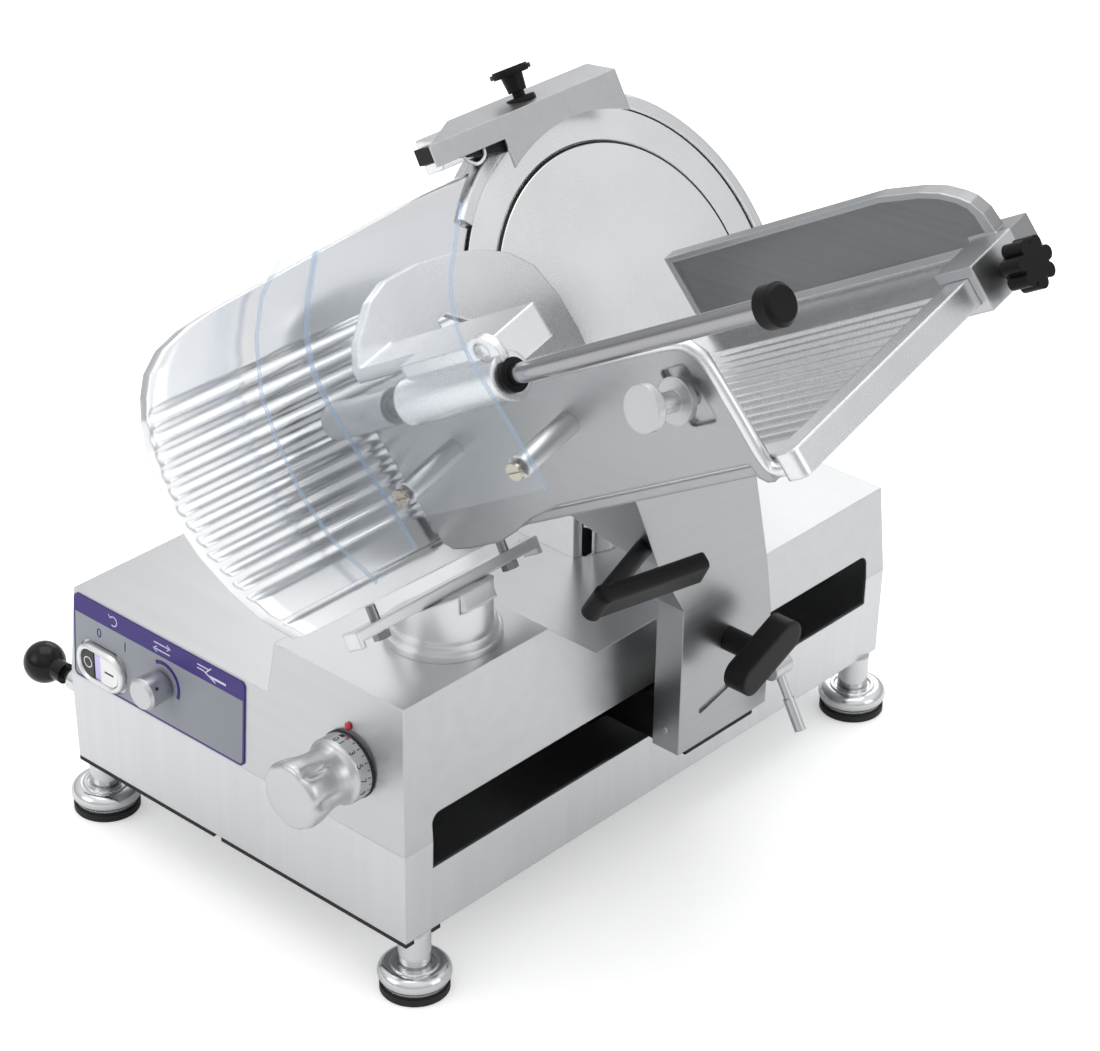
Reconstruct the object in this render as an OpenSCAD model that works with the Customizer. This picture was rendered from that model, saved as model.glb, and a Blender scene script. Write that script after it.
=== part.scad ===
// Electric gravity slicer. Sizes in millimetres, +Z up, the user stands on the -Y side.
// Feed frame: n is the blade's normal and points up the table, y is the row's Y, u climbs the blade.
// Carriage frame: the feed frame turned about n, so w runs along the table floor and v leaves it.

/* [Housing] */
// Width of the tub, left to right
base_w = 381; // [370:1:400]
// Depth of the tub, front to back
base_d = 588; // [575:1:620]
// Height of the joint between tub and lid
seam_z = 82; // [76:1:90]
// Height of the deck
deck_z = 163; // [157:1:170]
// Height of the raised block at the front right
block_z = 209; // [205:1:212]
// Width of the raised block
block_w = 144; // [138:1:160]
// Depth of the raised block's flat top
block_d = 165; // [155:1:180]
// Length of the ramp behind the block
ramp_d = 54; // [40:1:60]
// Thickness of the housing's sheet
wall = 3; // [2:0.5:4]
// How far the walls lean out at the joint
seam_lean = 1.4; // [1:0.1:3]
// How far the walls lean in at the deck
deck_lean = 3.3; // [2:0.1:4]
// How far the walls lean in at the block's top
block_lean = 6; // [4:0.5:7]

/* [Carriage slot] */
// Front end of the slot
slot_y0 = 29.4; // [24:0.2:40]
// Back end of the slot
slot_y1 = 565.6; // [560:0.2:570]
// Bottom of the slot
slot_z0 = 57; // [52:1:58]
// Top of the slot
slot_z1 = 106; // [105:1:112]
// Radius of the slot's upper corners
slot_r = 9; // [5:1:14]

/* [Feet] */
// Height of the tub above the table that it stands on
ground_gap = 54; // [45:1:70]
// Radius of a foot's bell
bell_r = 29.5; // [24:0.5:32]
// Radius of a foot's post
post_r = 13.2; // [10:0.2:15]
// Thickness of the rubber pad
pad_t = 8; // [5:0.5:10]
// Distance of a foot from the tub's sides
foot_side = 9.2; // [9:0.2:20]
// Distance of a foot from the tub's front and back
foot_end = 18.5; // [17:0.5:24]

/* [Blade] */
// Radius of the blade
blade_r = 165; // [160:1:167]
// Distance from the blade's edge to the round plate that covers its middle
cover_set = 28.6; // [25:0.2:35]
// Width that the ring stands out beyond the blade's edge
ring_over = 14; // [12:1:16]
// Tilt of the blade from upright, in degrees
feed_angle = 30;
// Radius of the blade shaft
shaft_r = 12; // [9:0.5:14]
// Height of the blade's centre above the tub's bottom
blade_z = 375.7; // [370:0.5:385]
// Distance of the blade's centre from the tub's right side
blade_side = 107.9; // [104:0.5:112]
// Distance of the blade's centre from the tub's front
blade_y = 368.3; // [364:0.5:372]

/* [Gauge plate] */
// Thickness of the gauge plate
gauge_t = 12; // [9:0.5:14]
// Set-back of the plate from the blade's plane
gauge_set = 2; // [1:0.1:3]
// Depth of the plate's ribs
gauge_rib = 2.5; // [1.5:0.1:4]
// Number of ribs on the plate
gauge_rib_count = 12;

/* [Carriage] */
// Tilt of the table across the feed, in degrees
table_angle = 12;
// Length of the table along the feed
table_n = 378; // [370:1:390]
// Depth of the table across the feed
table_w = 303; // [300:1:310]
// Height of the floor's ribs
floor_rib = 2.5; // [1.5:0.1:3]
// Number of ribs on the floor
floor_rib_count = 14;
// Thickness of the front wall
side_t = 8; // [6:0.5:9]
// Radius of the pusher's rod
rod_r = 7.5; // [6.5:0.25:8.5]
// Length of the pusher's rod
rod_len = 460; // [430:5:480]
// Thickness of the clear guard's sheet
sheet_t = 4; // [3:0.5:5]
// Thickness of the arm's sheet
arm_t = 6; // [4:0.5:7]
// Distance of the arm's outer face from the tub's side
arm_x = 50; // [46:0.5:54]

/* [Hidden] */
$fn = 72;
fit_gap = 0.3; // clearance between moving pieces
run_gap = 0.05; // radial clearance of a shaft in its bore
cover_r = blade_r - cover_set;
ring_r = blade_r + ring_over;
cut = 1; // overrun of every cut
reach = 2000; // longer than the whole machine, for half spaces

// The row's origin is the bottom centre of the bounding box
ball_r = 18;
ball_x = 53;
ball_z = 63;
cap_r = 15;
cap_t = 14;
cap_edge_share = 0.8;
rod_n0 = 20;
rod_w = -320;
rod_v = 90;
plate_left = 476;
carriage_u = function(w, v) w * sin(table_angle) + v * cos(table_angle);
carriage_y = function(w, v) blade_y + w * cos(table_angle) - v * sin(table_angle);
place_x = function(n, u) -blade_side + n * cos(feed_angle) - u * sin(feed_angle);
place_z = function(n, u) blade_z + n * sin(feed_angle) + u * cos(feed_angle);
cap_n = rod_n0 + rod_len + cap_t - wall;
cap_u = carriage_u(rod_w, rod_v);
left_end = base_w + ball_x + ball_r;
right_end = place_x(cap_n, cap_u) + cap_r * cap_edge_share * sin(feed_angle);
front_end = blade_y - plate_left;
back_end = base_d - foot_end + bell_r;
shift_x = (left_end - right_end) / 2;
shift_y = -(front_end + back_end) / 2;
shift_z = ground_gap;

module place()
  translate([shift_x, shift_y, shift_z])
    children();

module feed()
  translate([-blade_side, blade_y, blade_z])
    rotate([0, -feed_angle, 0])
      children();

module carriage()
  feed()
    rotate([table_angle, 0, 0])
      children();

// Extrusions of a flat outline along one axis of the current frame
module along_x(x0, x1)
  translate([x0, 0, 0])
    rotate([90, 0, 90])
      linear_extrude(x1 - x0)
        children();

module along_y(y0, y1)
  translate([0, y1, 0])
    rotate([90, 0, 0])
      linear_extrude(y1 - y0)
        children();

module along_z(z0, z1)
  translate([0, 0, z0])
    linear_extrude(z1 - z0)
      children();

module block(x0, x1, y0, y1, z0, z1)
  translate([x0, y0, z0])
    cube([x1 - x0, y1 - y0, z1 - z0]);

module rounded_box(x0, x1, y0, y1, r) {
  translate([x0 + r, y0])
    square([x1 - x0 - 2 * r, y1 - y0]);
  translate([x0, y0 + r])
    square([x1 - x0, y1 - y0 - 2 * r]);
  for (x = [x0 + r, x1 - r], y = [y0 + r, y1 - r])
    translate([x, y])
      circle(r);
}

module rod_x(x0, x1, y, z, r)
  translate([x0, y, z])
    rotate([0, 90, 0])
      cylinder(x1 - x0, r, r);

module rod_y(y0, y1, x, z, r)
  translate([x, y1, z])
    rotate([90, 0, 0])
      cylinder(y1 - y0, r, r);

module rod_z(z0, z1, x, y, r)
  translate([x, y, z0])
    cylinder(z1 - z0, r, r);

// Housing shells: the walls lean from lean0 at z0 to lean1 at z1, inset moves them all inwards
module leaning_box(w0, w1, d0, d1, z0, z1, lean0, lean1, inset)
  intersection() {
    along_y(d0 - reach, d1 + reach)
      polygon([
        [w0 - lean0 + inset, z0],
        [w1 + lean0 - inset, z0],
        [w1 + lean1 - inset, z1],
        [w0 - lean1 + inset, z1]
      ]);
    along_x(w0 - reach, w1 + reach)
      polygon([
        [d0 - lean0 + inset, z0],
        [d1 + lean0 - inset, z0],
        [d1 + lean1 - inset, z1],
        [d0 - lean1 + inset, z1]
      ]);
  }

module raised_block(inset)
  intersection() {
    along_y(-reach, reach)
      polygon([
        [-block_w - block_lean + inset, seam_z],
        [seam_lean - inset, seam_z],
        [-deck_lean - inset, deck_z],
        [-block_lean - inset, block_z - inset],
        [-block_w + inset, block_z - inset],
        [-block_w - block_lean + inset, deck_z]
      ]);
    along_x(-reach, reach)
      polygon([
        [-seam_lean + inset, seam_z],
        [deck_lean + inset, deck_z],
        [block_lean + inset, block_z - inset],
        [block_d - inset / 2, block_z - inset],
        [block_d + ramp_d - inset, deck_z],
        [block_d + ramp_d - inset, seam_z]
      ]);
  }

module slot_cut()
  along_x(-wall - block_w / 2, cut + seam_lean) {
    rounded_box(slot_y0, slot_y1, slot_z0, slot_z1, slot_r);
    translate([slot_y0, slot_z0])
      square([slot_y1 - slot_y0, slot_r * 2]);
  }

// Guide rails and the seats that hold them inside the tub
rail_r = 10;
rail_z = 68;
rail_x = [-70, -150];
rail_seat_t = 15;
rail_seat_r = 16;

module lower_housing() color("gainsboro") {
  place()
    difference() {
      leaning_box(-base_w, 0, 0, base_d, 0, seam_z, 0, seam_lean, 0);
      difference() {
        leaning_box(-base_w, 0, 0, base_d, -cut, seam_z + cut, 0, seam_lean, wall);
        for (x = rail_x, end = [0, 1])
          translate([x, end * base_d, 0])
            mirror([0, end, 0]) {
              block(-rail_seat_r, rail_seat_r, 0, wall + rail_seat_t, rail_z - rail_seat_r, seam_z);
            }
        foot_blocks(0);
      }
      slot_cut();
      for (x = rail_x)
        rod_y(wall + cut, base_d - wall - cut, x, rail_z, rail_r);
      at_feet()
        rod_z(-cut, stud_z - foot_cap, 0, 0, stud_r);
      translate([-base_w - cut, latch_y, ball_z])
        rod_x(-wall, wall * 2 + cut, 0, 0, ball_stem_r + run_gap);
      gland_hole();
    }
}

// Corner blocks in the tub that take the studs of the feet
foot_cap = 2;
stud_r = 5;
stud_z = 20;
foot_block = 34;

module foot_blocks(grow)
  at_feet_side()
    block(-foot_side, foot_block - foot_side, -foot_end, foot_block - foot_side, base_t, stud_z);

module at_feet()
  for (x = [-base_w + foot_side, -foot_side], y = [foot_end, base_d - foot_end])
    translate([x, y, 0])
      children();

module at_feet_side()
  for (right = [0, 1], back = [0, 1])
    translate([right ? -foot_side : -base_w + foot_side, back ? base_d - foot_end : foot_end, 0])
      mirror([right, 0, 0])
        mirror([0, back, 0])
          children();

base_t = 3;

module base_plate() color("silver") {
  place()
    difference() {
      block(wall - base_w + fit_gap, -wall - fit_gap, wall + fit_gap, base_d - wall - fit_gap, 0, base_t);
      at_feet()
        rod_z(-cut, base_t + cut, 0, 0, stud_r);
      for (i = [0:vent_count - 1])
        translate([-base_w / 2 + (i - (vent_count - 1) / 2) * vent_pitch, base_d / 2, -cut])
          linear_extrude(base_t + 2 * cut)
            rounded_box(-vent_w / 2, vent_w / 2, -vent_l / 2, vent_l / 2, vent_w / 3);
    }
}

vent_count = 9;
vent_pitch = 16;
vent_w = 6;
vent_l = 120;

// Black seal under the front edge, in two lengths, with a short return at the right
gasket_t = 4;
gasket_w = 9;
gasket_gap_x = -213;
gasket_gap = 9;
gasket_return = 38;

module base_gasket() color("black") {
  place()
    difference() {
      union() {
        block(-base_w, gasket_gap_x - gasket_gap / 2, 0, gasket_w, -gasket_t, 0);
        block(gasket_gap_x + gasket_gap / 2, 0, 0, gasket_w, -gasket_t, 0);
        block(-gasket_w, 0, 0, gasket_return, -gasket_t, 0);
      }
      at_feet()
        rod_z(-gasket_t - cut, cut, 0, 0, post_r);
    }
}

foot_neck = 23;
foot_lip = 3;

module feet() color("silver") {
  place()
    at_feet() {
      rod_z(-ground_gap + pad_t + foot_neck / 2, 0, 0, 0, post_r);
      rod_z(-cut, stud_z - foot_cap, 0, 0, stud_r);
      translate([0, 0, -ground_gap + pad_t])
        rotate_extrude()
          bell_outline();
    }
}

module bell_outline() {
  difference() {
    union() {
      square([bell_r - foot_lip, foot_neck / 2]);
      translate([bell_r - foot_neck / 3, foot_neck / 3])
        circle(foot_neck / 3);
      square([post_r + foot_lip * 2, foot_neck * 0.7]);
    }
    translate([-reach, -reach])
      square([reach, 2 * reach]);
    translate([post_r, foot_neck * 0.7 - foot_lip / 2])
      square([foot_lip, foot_lip]);
  }
}

module foot_pads() color("black") {
  place()
    at_feet()
      translate([0, 0, -ground_gap])
        rotate_extrude() {
          square([bell_r - foot_lip, pad_t]);
          square([bell_r - foot_lip / 2, pad_t * 0.75]);
        }
}

// Lid
column_x = [-236, -101];
column_y = [315, 495];
turret_x = -61;
turret_y = 105.5;
stem_bore_r = 20;
dial_x = -60;
dial_z = 139;
dial_shaft_r = 6;

module upper_housing() color("gainsboro") {
  place()
    difference() {
      union() {
        leaning_box(-base_w, 0, 0, base_d, seam_z, deck_z, seam_lean, -deck_lean, 0);
        raised_block(0);
      }
      difference() {
        union() {
          leaning_box(-base_w, 0, 0, base_d, seam_z - cut, deck_z - wall, seam_lean, -deck_lean, wall);
          raised_block(wall);
          raised_throat();
        }
        along_y(-reach, reach)
          polygon([[-base_w, seam_z - 2 * cut], [-base_w, seam_z - 3 * cut], [0, seam_z - 3 * cut]]);
      }
      slot_cut();
      rod_y(-cut, wall * 4, dial_x, dial_z, dial_shaft_r + run_gap);
      rod_y(-cut, wall * 4, knob_x, knob_z, selector_shaft_r + run_gap);
      rod_z(deck_z, block_z + cut, turret_x, turret_y, stem_bore_r);
      block(column_x[0] + wall * 3, column_x[1] - wall * 3, column_y[0] + wall * 3,
            column_y[1] - wall * 3, deck_z - wall - cut, deck_z + cut);
    }
}

module raised_throat()
  along_z(seam_z - cut, deck_z)
    translate([-block_w, wall + deck_lean])
      square([block_w - wall - deck_lean, block_d]);

// Control panel, set on the leaning front wall
panel_x = [-377, -175];
panel_z = [84, 160];
panel_t = 1.2;
panel_r = 5;
bezel_x = -341;
bezel_z = 105;
bezel_w = 56;
bezel_h = 36;
bezel_t = 10;
knob_x = -269;
knob_z = 120;
selector_shaft_r = 4;
face_y = 1.2;

module panel_skin(grow)
  intersection() {
    difference() {
      leaning_box(-base_w, 0, 0, base_d, seam_z, deck_z, seam_lean, -deck_lean, -grow);
      leaning_box(-base_w, 0, 0, base_d, seam_z, deck_z, seam_lean, -deck_lean, 0);
    }
    along_y(-reach, base_d / 2)
      rounded_box(panel_x[0], panel_x[1], panel_z[0], panel_z[1], panel_r);
  }

module control_panel() color("slategray") {
  place()
    difference() {
      panel_skin(panel_t);
      rod_y(-reach / 2, wall * 4, knob_x, knob_z, selector_shaft_r + run_gap);
      along_y(-reach / 2, wall * 4)
        rounded_box(bezel_x - bezel_w / 2, bezel_x + bezel_w / 2, bezel_z - bezel_h / 2,
                    bezel_z + bezel_h / 2, bezel_h / 3);
    }
}

// Switch: a satin frame round a black 0 button, a lamp strip and a white 1 button
stop_x = -357;
stop_r = 8;
start_x = -327;
start_w = 24;
start_h = 26;
button_y = -11;
switch_back = 2.5;

module switch_bezel() color("silver") {
  place()
    difference() {
      along_y(switch_back - bezel_t, switch_back)
        rounded_box(bezel_x - bezel_w / 2 + run_gap, bezel_x + bezel_w / 2 - run_gap,
                    bezel_z - bezel_h / 2 + run_gap, bezel_z + bezel_h / 2 - run_gap, bezel_h / 3);
      leaning_box(-base_w, 0, 0, base_d, seam_z, deck_z, seam_lean, -deck_lean, 0);
      rod_y(-reach / 2, wall, stop_x, bezel_z, stop_r + fit_gap);
      along_y(-reach / 2, wall)
        rounded_box(start_x - start_w / 2 - fit_gap, start_x + start_w / 2 + fit_gap,
                    bezel_z - start_h / 2 - fit_gap, bezel_z + start_h / 2 + fit_gap, stop_r / 2);
      lamp(0);
    }
}

lamp_w = 4;
lamp_x = -344.5;

module lamp(shrink)
  along_y(switch_back - bezel_t, -bezel_t / 2 + shrink)
    translate([lamp_x - lamp_w / 2 + shrink, bezel_z - start_h / 2 + shrink])
      square([lamp_w - 2 * shrink, start_h - 2 * shrink]);

module pilot_lamp() color("plum") {
  place()
    lamp(0);
}

button_travel = 3;

module stop_button() color("black") {
  place()
    difference() {
      rod_y(button_y, -button_travel, stop_x, bezel_z, stop_r);
      difference() {
        rod_y(button_y - cut, button_y + cut, stop_x, bezel_z, stop_r * 0.7);
        rod_y(button_y - 2 * cut, button_y + 2 * cut, stop_x, bezel_z, stop_r * 0.5);
      }
    }
}

module start_button() color("white") {
  place()
    along_y(button_y + cut, -button_travel)
      rounded_box(start_x - start_w / 2, start_x + start_w / 2, bezel_z - start_h / 2,
                  bezel_z + start_h / 2, stop_r / 2);
}

selector_r = 14;
selector_face = -25;

module selector_knob() color("silver") {
  place() {
    translate([knob_x, 0, knob_z])
      rotate([90, 0, 0]) {
        translate([0, 0, -wall * 3])
          cylinder(wall * 3 - selector_face - cut, selector_shaft_r, selector_shaft_r);
        translate([0, 0, wall])
          cylinder(-selector_face - wall * 2, selector_r * 0.92, selector_r);
        translate([0, 0, -selector_face - wall])
          cylinder(wall, selector_r, selector_r * 0.86);
      }
  }
}

// Thickness dial: graduated ring at the face, lobed grip in front
ring_t = 13;
dial_ring_r = 26;
grip_r = 28;
grip_y = 62;
flute_count = 6;
flute_r = 13;
dial_outline_shares = [
  [0, 0], [0.98, 0], [0.98, 0.02], [0.98, 0.2], [0.86, 0.22], [0.76, 0.3], [0.76, 0.4],
  [0.84, 0.56], [1, 0.78], [1, 0.93], [0.95, 0.98], [0.86, 1], [0, 1]
];

module thickness_knob() color("silver") {
  place()
    translate([dial_x, 0, dial_z])
      rotate([90, 0, 0]) {
        difference() {
          rotate_extrude()
            polygon([for (p = dial_outline_shares) [p[0] * grip_r, p[1] * grip_y]]);
          for (i = [0:flute_count - 1])
            rotate([0, 0, (i + 0.5) * 360 / flute_count])
              translate([grip_r + flute_r * 0.42, 0, grip_y * 0.5])
                rotate([0, 14, 0])
                  cylinder(grip_y * 0.42, flute_r * 0.2, flute_r * 0.82);
          translate([0, 0, -cut])
            cylinder(wall + deck_lean + cut, grip_r, grip_r);
        }
        translate([0, 0, -cam_y - cam_t])
          cylinder(cam_y + cam_t + ring_t, dial_shaft_r, dial_shaft_r);
      }
}

cam_y = 34;
cam_t = 10;
cam_r = 24;
groove_w = 5;

module dial_cam() color("dimgray") {
  place()
    difference() {
      rod_y(cam_y, cam_y + cam_t, dial_x, dial_z, cam_r);
      rod_y(cam_y - cut, cam_y + cam_t + cut, dial_x, dial_z, dial_shaft_r);
      difference() {
        rod_y(cam_y + cam_t / 2, cam_y + cam_t + cut, dial_x + groove_w, dial_z, cam_r * 0.75);
        rod_y(cam_y, cam_y + cam_t + 2 * cut, dial_x + groove_w, dial_z, cam_r * 0.75 - groove_w);
      }
    }
}

// Pull knob on the left side
latch_y = 12;
ball_stem_r = 5;
ball_hub_r = 9;

module ball_knob() color("black") {
  place()
    translate([-base_w, latch_y, ball_z]) {
      translate([-ball_x, 0, 0])
        rotate([0, 0, 180])
          sphere(ball_r);
      rod_x(-ball_x, wall * 6, 0, 0, ball_stem_r);
      rod_x(-ball_x + ball_r - wall, -ball_x + ball_r + wall * 3, 0, 0, ball_hub_r);
      rod_x(-wall * 5, -wall * 1.2, 0, 0, ball_hub_r);
    }
}

// Turret: round post whose top is cut along the feed and grooved for the gauge slide
flange_r = 46.5;
flange_h = 7;
turret_r = 39;
step_r = 42.5;
step_h = 6;
slide_w = 34;
slide_h = 14;
bar_u = [-138, -129];
bar_n = [-20, -8];
bar_y = [7, 194];
slide_n = [-32, 14];

module turret_top()
  feed()
    block(-reach, reach, -reach, reach, bar_u[0] - 2 * fit_gap, reach);

module slide_space(grow)
  feed()
    block(slide_n[0] - gauge_stroke - slide_w / 2, reach, turret_y - blade_y - slide_w / 2 - grow,
          turret_y - blade_y + slide_w / 2 + grow, bar_u[0] - slide_h - grow, reach);

gauge_stroke = 15;

module gauge_turret() color("lightgray") {
  place()
    difference() {
      translate([turret_x, turret_y, block_z]) {
        rod_z(0, flange_h, 0, 0, flange_r);
        rod_z(0, flange_h + step_h, 0, 0, step_r);
        rod_z(0, flange_r * 1.5, 0, 0, turret_r);
        rod_z(-wall - cut, 0, 0, 0, stem_bore_r);
      }
      turret_top();
      slide_space(fit_gap);
      rod_z(block_z - wall - 2 * cut, block_z + flange_h / 2, turret_x, turret_y, stem_bore_r - wall * 2);
    }
}

module slide_block() color("silver") {
  place()
    feed()
      difference() {
        block(slide_n[0], slide_n[1], turret_y - blade_y - slide_w / 2, turret_y - blade_y + slide_w / 2,
              bar_u[0] - slide_h, bar_u[0]);
        for (y = [-slide_w / 4, slide_w / 4])
          rod_z(bar_u[0] - slide_h - cut, bar_u[0] - slide_h / 2, 0, turret_y - blade_y + y, bolt_r);
      }
}

bolt_r = 4;
bolt_head_r = 7;
bolt_head_h = 6;
bolt_y = [28, 168];
bolt_n = -14;
hook_t = 5;

module gauge_bar() color("gray") {
  place()
    feed()
      difference() {
        union() {
          block(bar_n[0], bar_n[1], bar_y[0] - blade_y, bar_y[1] - blade_y, bar_u[0], bar_u[1]);
          for (y = [bar_y[0] - hook_t, bar_y[1]])
            block(bar_n[0] - hook_t, bar_n[1], y - blade_y, y + hook_t - blade_y, bar_u[0] - hook_t, bar_u[1]);
        }
        for (y = bolt_y)
          rod_z(bar_u[0] - cut, bar_u[1] + cut, bolt_n, y - blade_y, bolt_r + run_gap);
      }
}

module gauge_bolts() color("dimgray") {
  place()
    feed()
      for (y = bolt_y) {
        translate([bolt_n, y - blade_y, bar_u[0] - bolt_head_h])
          cylinder(bolt_head_h, bolt_head_r, bolt_head_r, $fn = 6);
        rod_z(bar_u[0] - cut / 2, bar_u[1] + gauge_t, bolt_n, y - blade_y, bolt_r);
      }
}

// Gauge plate: outline in the blade's plane, (y, u), measured from the blade's centre
plate_outline = [
  [-416.5, -113], [-438, -88], [-453.2, -60], [-466.4, -28], [-475, 6], [-476, 32], [-474, 56],
  [-469.2, 78], [-462, 94], [-452, 108], [-434.5, 120], [-409.8, 127.5], [-385.3, 131], [-331.2, 135],
  [-171.3, 147], [-106.3, 149], [-60, 149], [-60, -119], [-200, -117]
];
plate_boss = 20;
blade_clear = 2;
ring_clear = 2;
cover_sector = [128, 232];

module sector(r, a0, a1)
  polygon([[0, 0], for (a = [a0:(a1 - a0) / 8:a1 + (a1 - a0) / 16]) [r * cos(a), r * sin(a)]]);

module gauge_plate() color("lightgray") {
  place()
    feed()
      difference() {
        union() {
          along_x(-gauge_set - gauge_t, -gauge_set)
            polygon(plate_outline);
          for (y = bolt_y)
            block(-gauge_set - gauge_t, -gauge_set - gauge_t / 6, y - blade_y - plate_boss / 2,
                  y - blade_y + plate_boss / 2, bar_u[1], bar_u[1] + plate_boss);
        }
        rod_x(-gauge_set - gauge_t - cut, cut, 0, 0, blade_r + blade_clear);
        along_x(-gauge_set - gauge_t - cut, cut)
          intersection() {
            circle(ring_r + ring_clear);
            sector(2 * ring_r, 90, ring_angles[1] + gap_angle);
          }
        along_x(-gauge_set - gauge_t - cut, cut)
          intersection() {
            circle(ring_r + ring_clear);
            sector(2 * ring_r, ring_angles[0] + 360 - gap_angle, 270);
          }
        for (i = [0:gauge_rib_count - 1])
          translate([0, 0, plate_groove_u0 + i * plate_groove_pitch])
            rod_y(-plate_left - cut, 0, -gauge_set + plate_groove_r - gauge_rib, 0, plate_groove_r);
        for (y = bolt_y)
          rod_z(bar_u[1] - cut, bar_u[1] + gauge_t + cut / 2, bolt_n, y - blade_y, bolt_r + run_gap);
        block(-gauge_set - gauge_t / 6, cut, -plate_left - cut, -blade_r, lower_groove_u, lower_groove_u + groove_w);
      }
}

plate_groove_u0 = -68;
plate_groove_pitch = 13.4;
plate_groove_r = 5;
lower_groove_u = -98;
gap_angle = 0.8;

// Casting behind the blade and the column that carries it
ring_angles = [-126, 138];
notch_angles = [66, 114];
pan_n = [-26, -20];
rim_n = -26;
boss_r = 34;
boss_n = -74;
cast_t = 7;

module blade_housing() color("lightgray") {
  place()
    difference() {
      union() {
        feed()
          difference() {
            union() {
              rod_x(pan_n[0], pan_n[1], 0, 0, ring_r);
              rod_x(pan_n[1], -gauge_set - gauge_t, 0, 0, ring_r);
              rod_x(boss_n, pan_n[0], 0, 0, boss_r);
            }
            rod_x(pan_n[1], cut, 0, 0, ring_r - cast_t);
            along_x(pan_n[1], cut)
              difference() {
                circle(ring_r + cut);
                sector(2 * ring_r, ring_angles[0], ring_angles[1]);
              }
            along_x(pan_n[0] - cut, cut)
              difference() {
                union() {
                  sector(2 * ring_r, notch_angles[0], notch_angles[1]);
                  sector(2 * ring_r, ring_angles[1], ring_angles[0] + 360);
                }
                circle(blade_r - cast_t);
              }
          }
        intersection() {
          difference() {
            along_y(column_y[0], column_y[1])
              polygon(column_side);
            along_y(column_y[0] + cast_t, column_y[1] - cast_t)
              polygon(column_hollow);
            along_z(deck_z - cut, blade_z + ring_r)
              polygon([
                [column_x[1] - column_bevel[0], column_y[0] - cut],
                [column_x[1] + cut, column_y[0] - cut],
                [column_x[1] + cut, column_y[0] + column_bevel[1]],
                [column_x[1], column_y[0] + column_bevel[1]]
              ]);
          }
          feed()
            block(-reach, pan_n[0] + cut / 10, -reach, reach, -reach, ring_r);
        }
        feed()
          intersection() {
            rod_x(column_lid_n, pan_n[0], 0, 0, ring_r - cast_t * 2);
            column_lid();
          }
      }
      feed() {
        rod_x(boss_n - cut, cut, 0, 0, bearing_r);
        rod_x(pan_n[0] - cut, pan_n[1] + cut, motor_dy, motor_u, spindle_r + wall);
        rod_x(-reach, pan_n[0], motor_dy, motor_u, motor_r + fit_gap);
      }
    }
}

column_bevel = [14, 32];
column_top = [330, 425, 440];
column_top_x = [-205, -165];
column_side = [
  [column_x[0], deck_z], [column_x[1], deck_z], [column_x[1], blade_z], [column_top_x[1], column_top[2]],
  [column_top_x[0], column_top[1]], [column_x[0], column_top[0]]
];
column_hollow = [
  [column_x[0] + cast_t, deck_z - cut], [column_x[1] - cast_t, deck_z - cut], [column_x[1] - cast_t, blade_z],
  [column_top_x[1], column_top[2] - cast_t], [column_top_x[0] + cast_t / 2, column_top[1] - cast_t],
  [column_x[0] + cast_t, column_top[0]]
];
column_lid_n = -30;

module column_lid()
  block(column_lid_n, pan_n[0], -blade_r / 3, blade_r * 0.7, -blade_r * 0.7, blade_r / 3);

bearing_r = 22;
bearing_n = [-70, -28];
motor_dy = 78;
motor_u = -22;
motor_r = 29;
motor_n = [-116, -26];
spindle_r = 8;
blade_pulley_r = 46;
motor_pulley_r = 18;
pulley_n = [-18, -9];
belt_t = 2.5;

module guard_ring() color("whitesmoke") {
  place()
    feed()
      difference() {
        along_x(-gauge_set - gauge_t, ring_front)
          intersection() {
            difference() {
              circle(ring_r);
              circle(blade_r + blade_clear / 2);
            }
            sector(2 * ring_r, ring_angles[0], ring_angles[1]);
          }
        along_x(-gauge_set - gauge_t - cut, ring_front + cut)
          sector(2 * ring_r, notch_angles[0], notch_angles[1]);
        rotate([0, 90, 0])
          translate([0, 0, ring_front - ring_bevel])
            rotate_extrude()
              polygon([[ring_r - ring_bevel, ring_bevel + cut / 10], [ring_r + cut, -cut],
                       [ring_r + cut, ring_bevel + cut / 10]]);
      }
}

ring_front = 2;
ring_bevel = 3;

blade_t = 5;

module blade() color("whitesmoke") {
  place()
    feed()
      difference() {
        rotate([0, 90, 0])
          rotate_extrude()
            polygon([[shaft_r, -blade_t * 0.3], [cover_r + blade_clear / 2, -blade_t * 0.3],
                     [cover_r + blade_clear, 0], [blade_r, 0], [blade_r - blade_t * 2, -blade_t * 0.6],
                     [cover_r, -blade_t], [shaft_r, -blade_t]]);
        rod_x(-blade_t - cut, cut, 0, 0, shaft_r);
      }
}

module blade_cover() color("whitesmoke") {
  place()
    feed() {
      rotate([0, 90, 0])
        rotate_extrude()
          polygon([[0, -blade_t * 0.3 + cover_gap], [cover_r, -blade_t * 0.3 + cover_gap], [cover_r, cover_t / 2],
                   [cover_r - cover_t, cover_t], [0, cover_t]]);
      rod_x(boss_n - cover_nut, 0, 0, 0, tie_r);
      rod_x(boss_n - cover_nut, boss_n - cut, 0, 0, boss_r * 0.6);
    }
}

cover_gap = 0.4;
cover_t = 2;
tie_r = 4;
cover_nut = 16;

module blade_shaft() color("silver") {
  place()
    feed()
      difference() {
        union() {
          rod_x(bearing_n[0] - wall, -blade_t * 0.3 - cover_gap, 0, 0, shaft_r);
          rod_x(pulley_n[1] + fit_gap, -blade_t, 0, 0, shaft_r * 2);
        }
        rod_x(boss_n - cut, cut, 0, 0, tie_r + fit_gap);
      }
}

module blade_bearing() color("gray") {
  place()
    feed()
      difference() {
        rod_x(bearing_n[0], bearing_n[1], 0, 0, bearing_r);
        rod_x(bearing_n[0] - cut, bearing_n[1] + cut, 0, 0, shaft_r + run_gap);
      }
}

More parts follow.
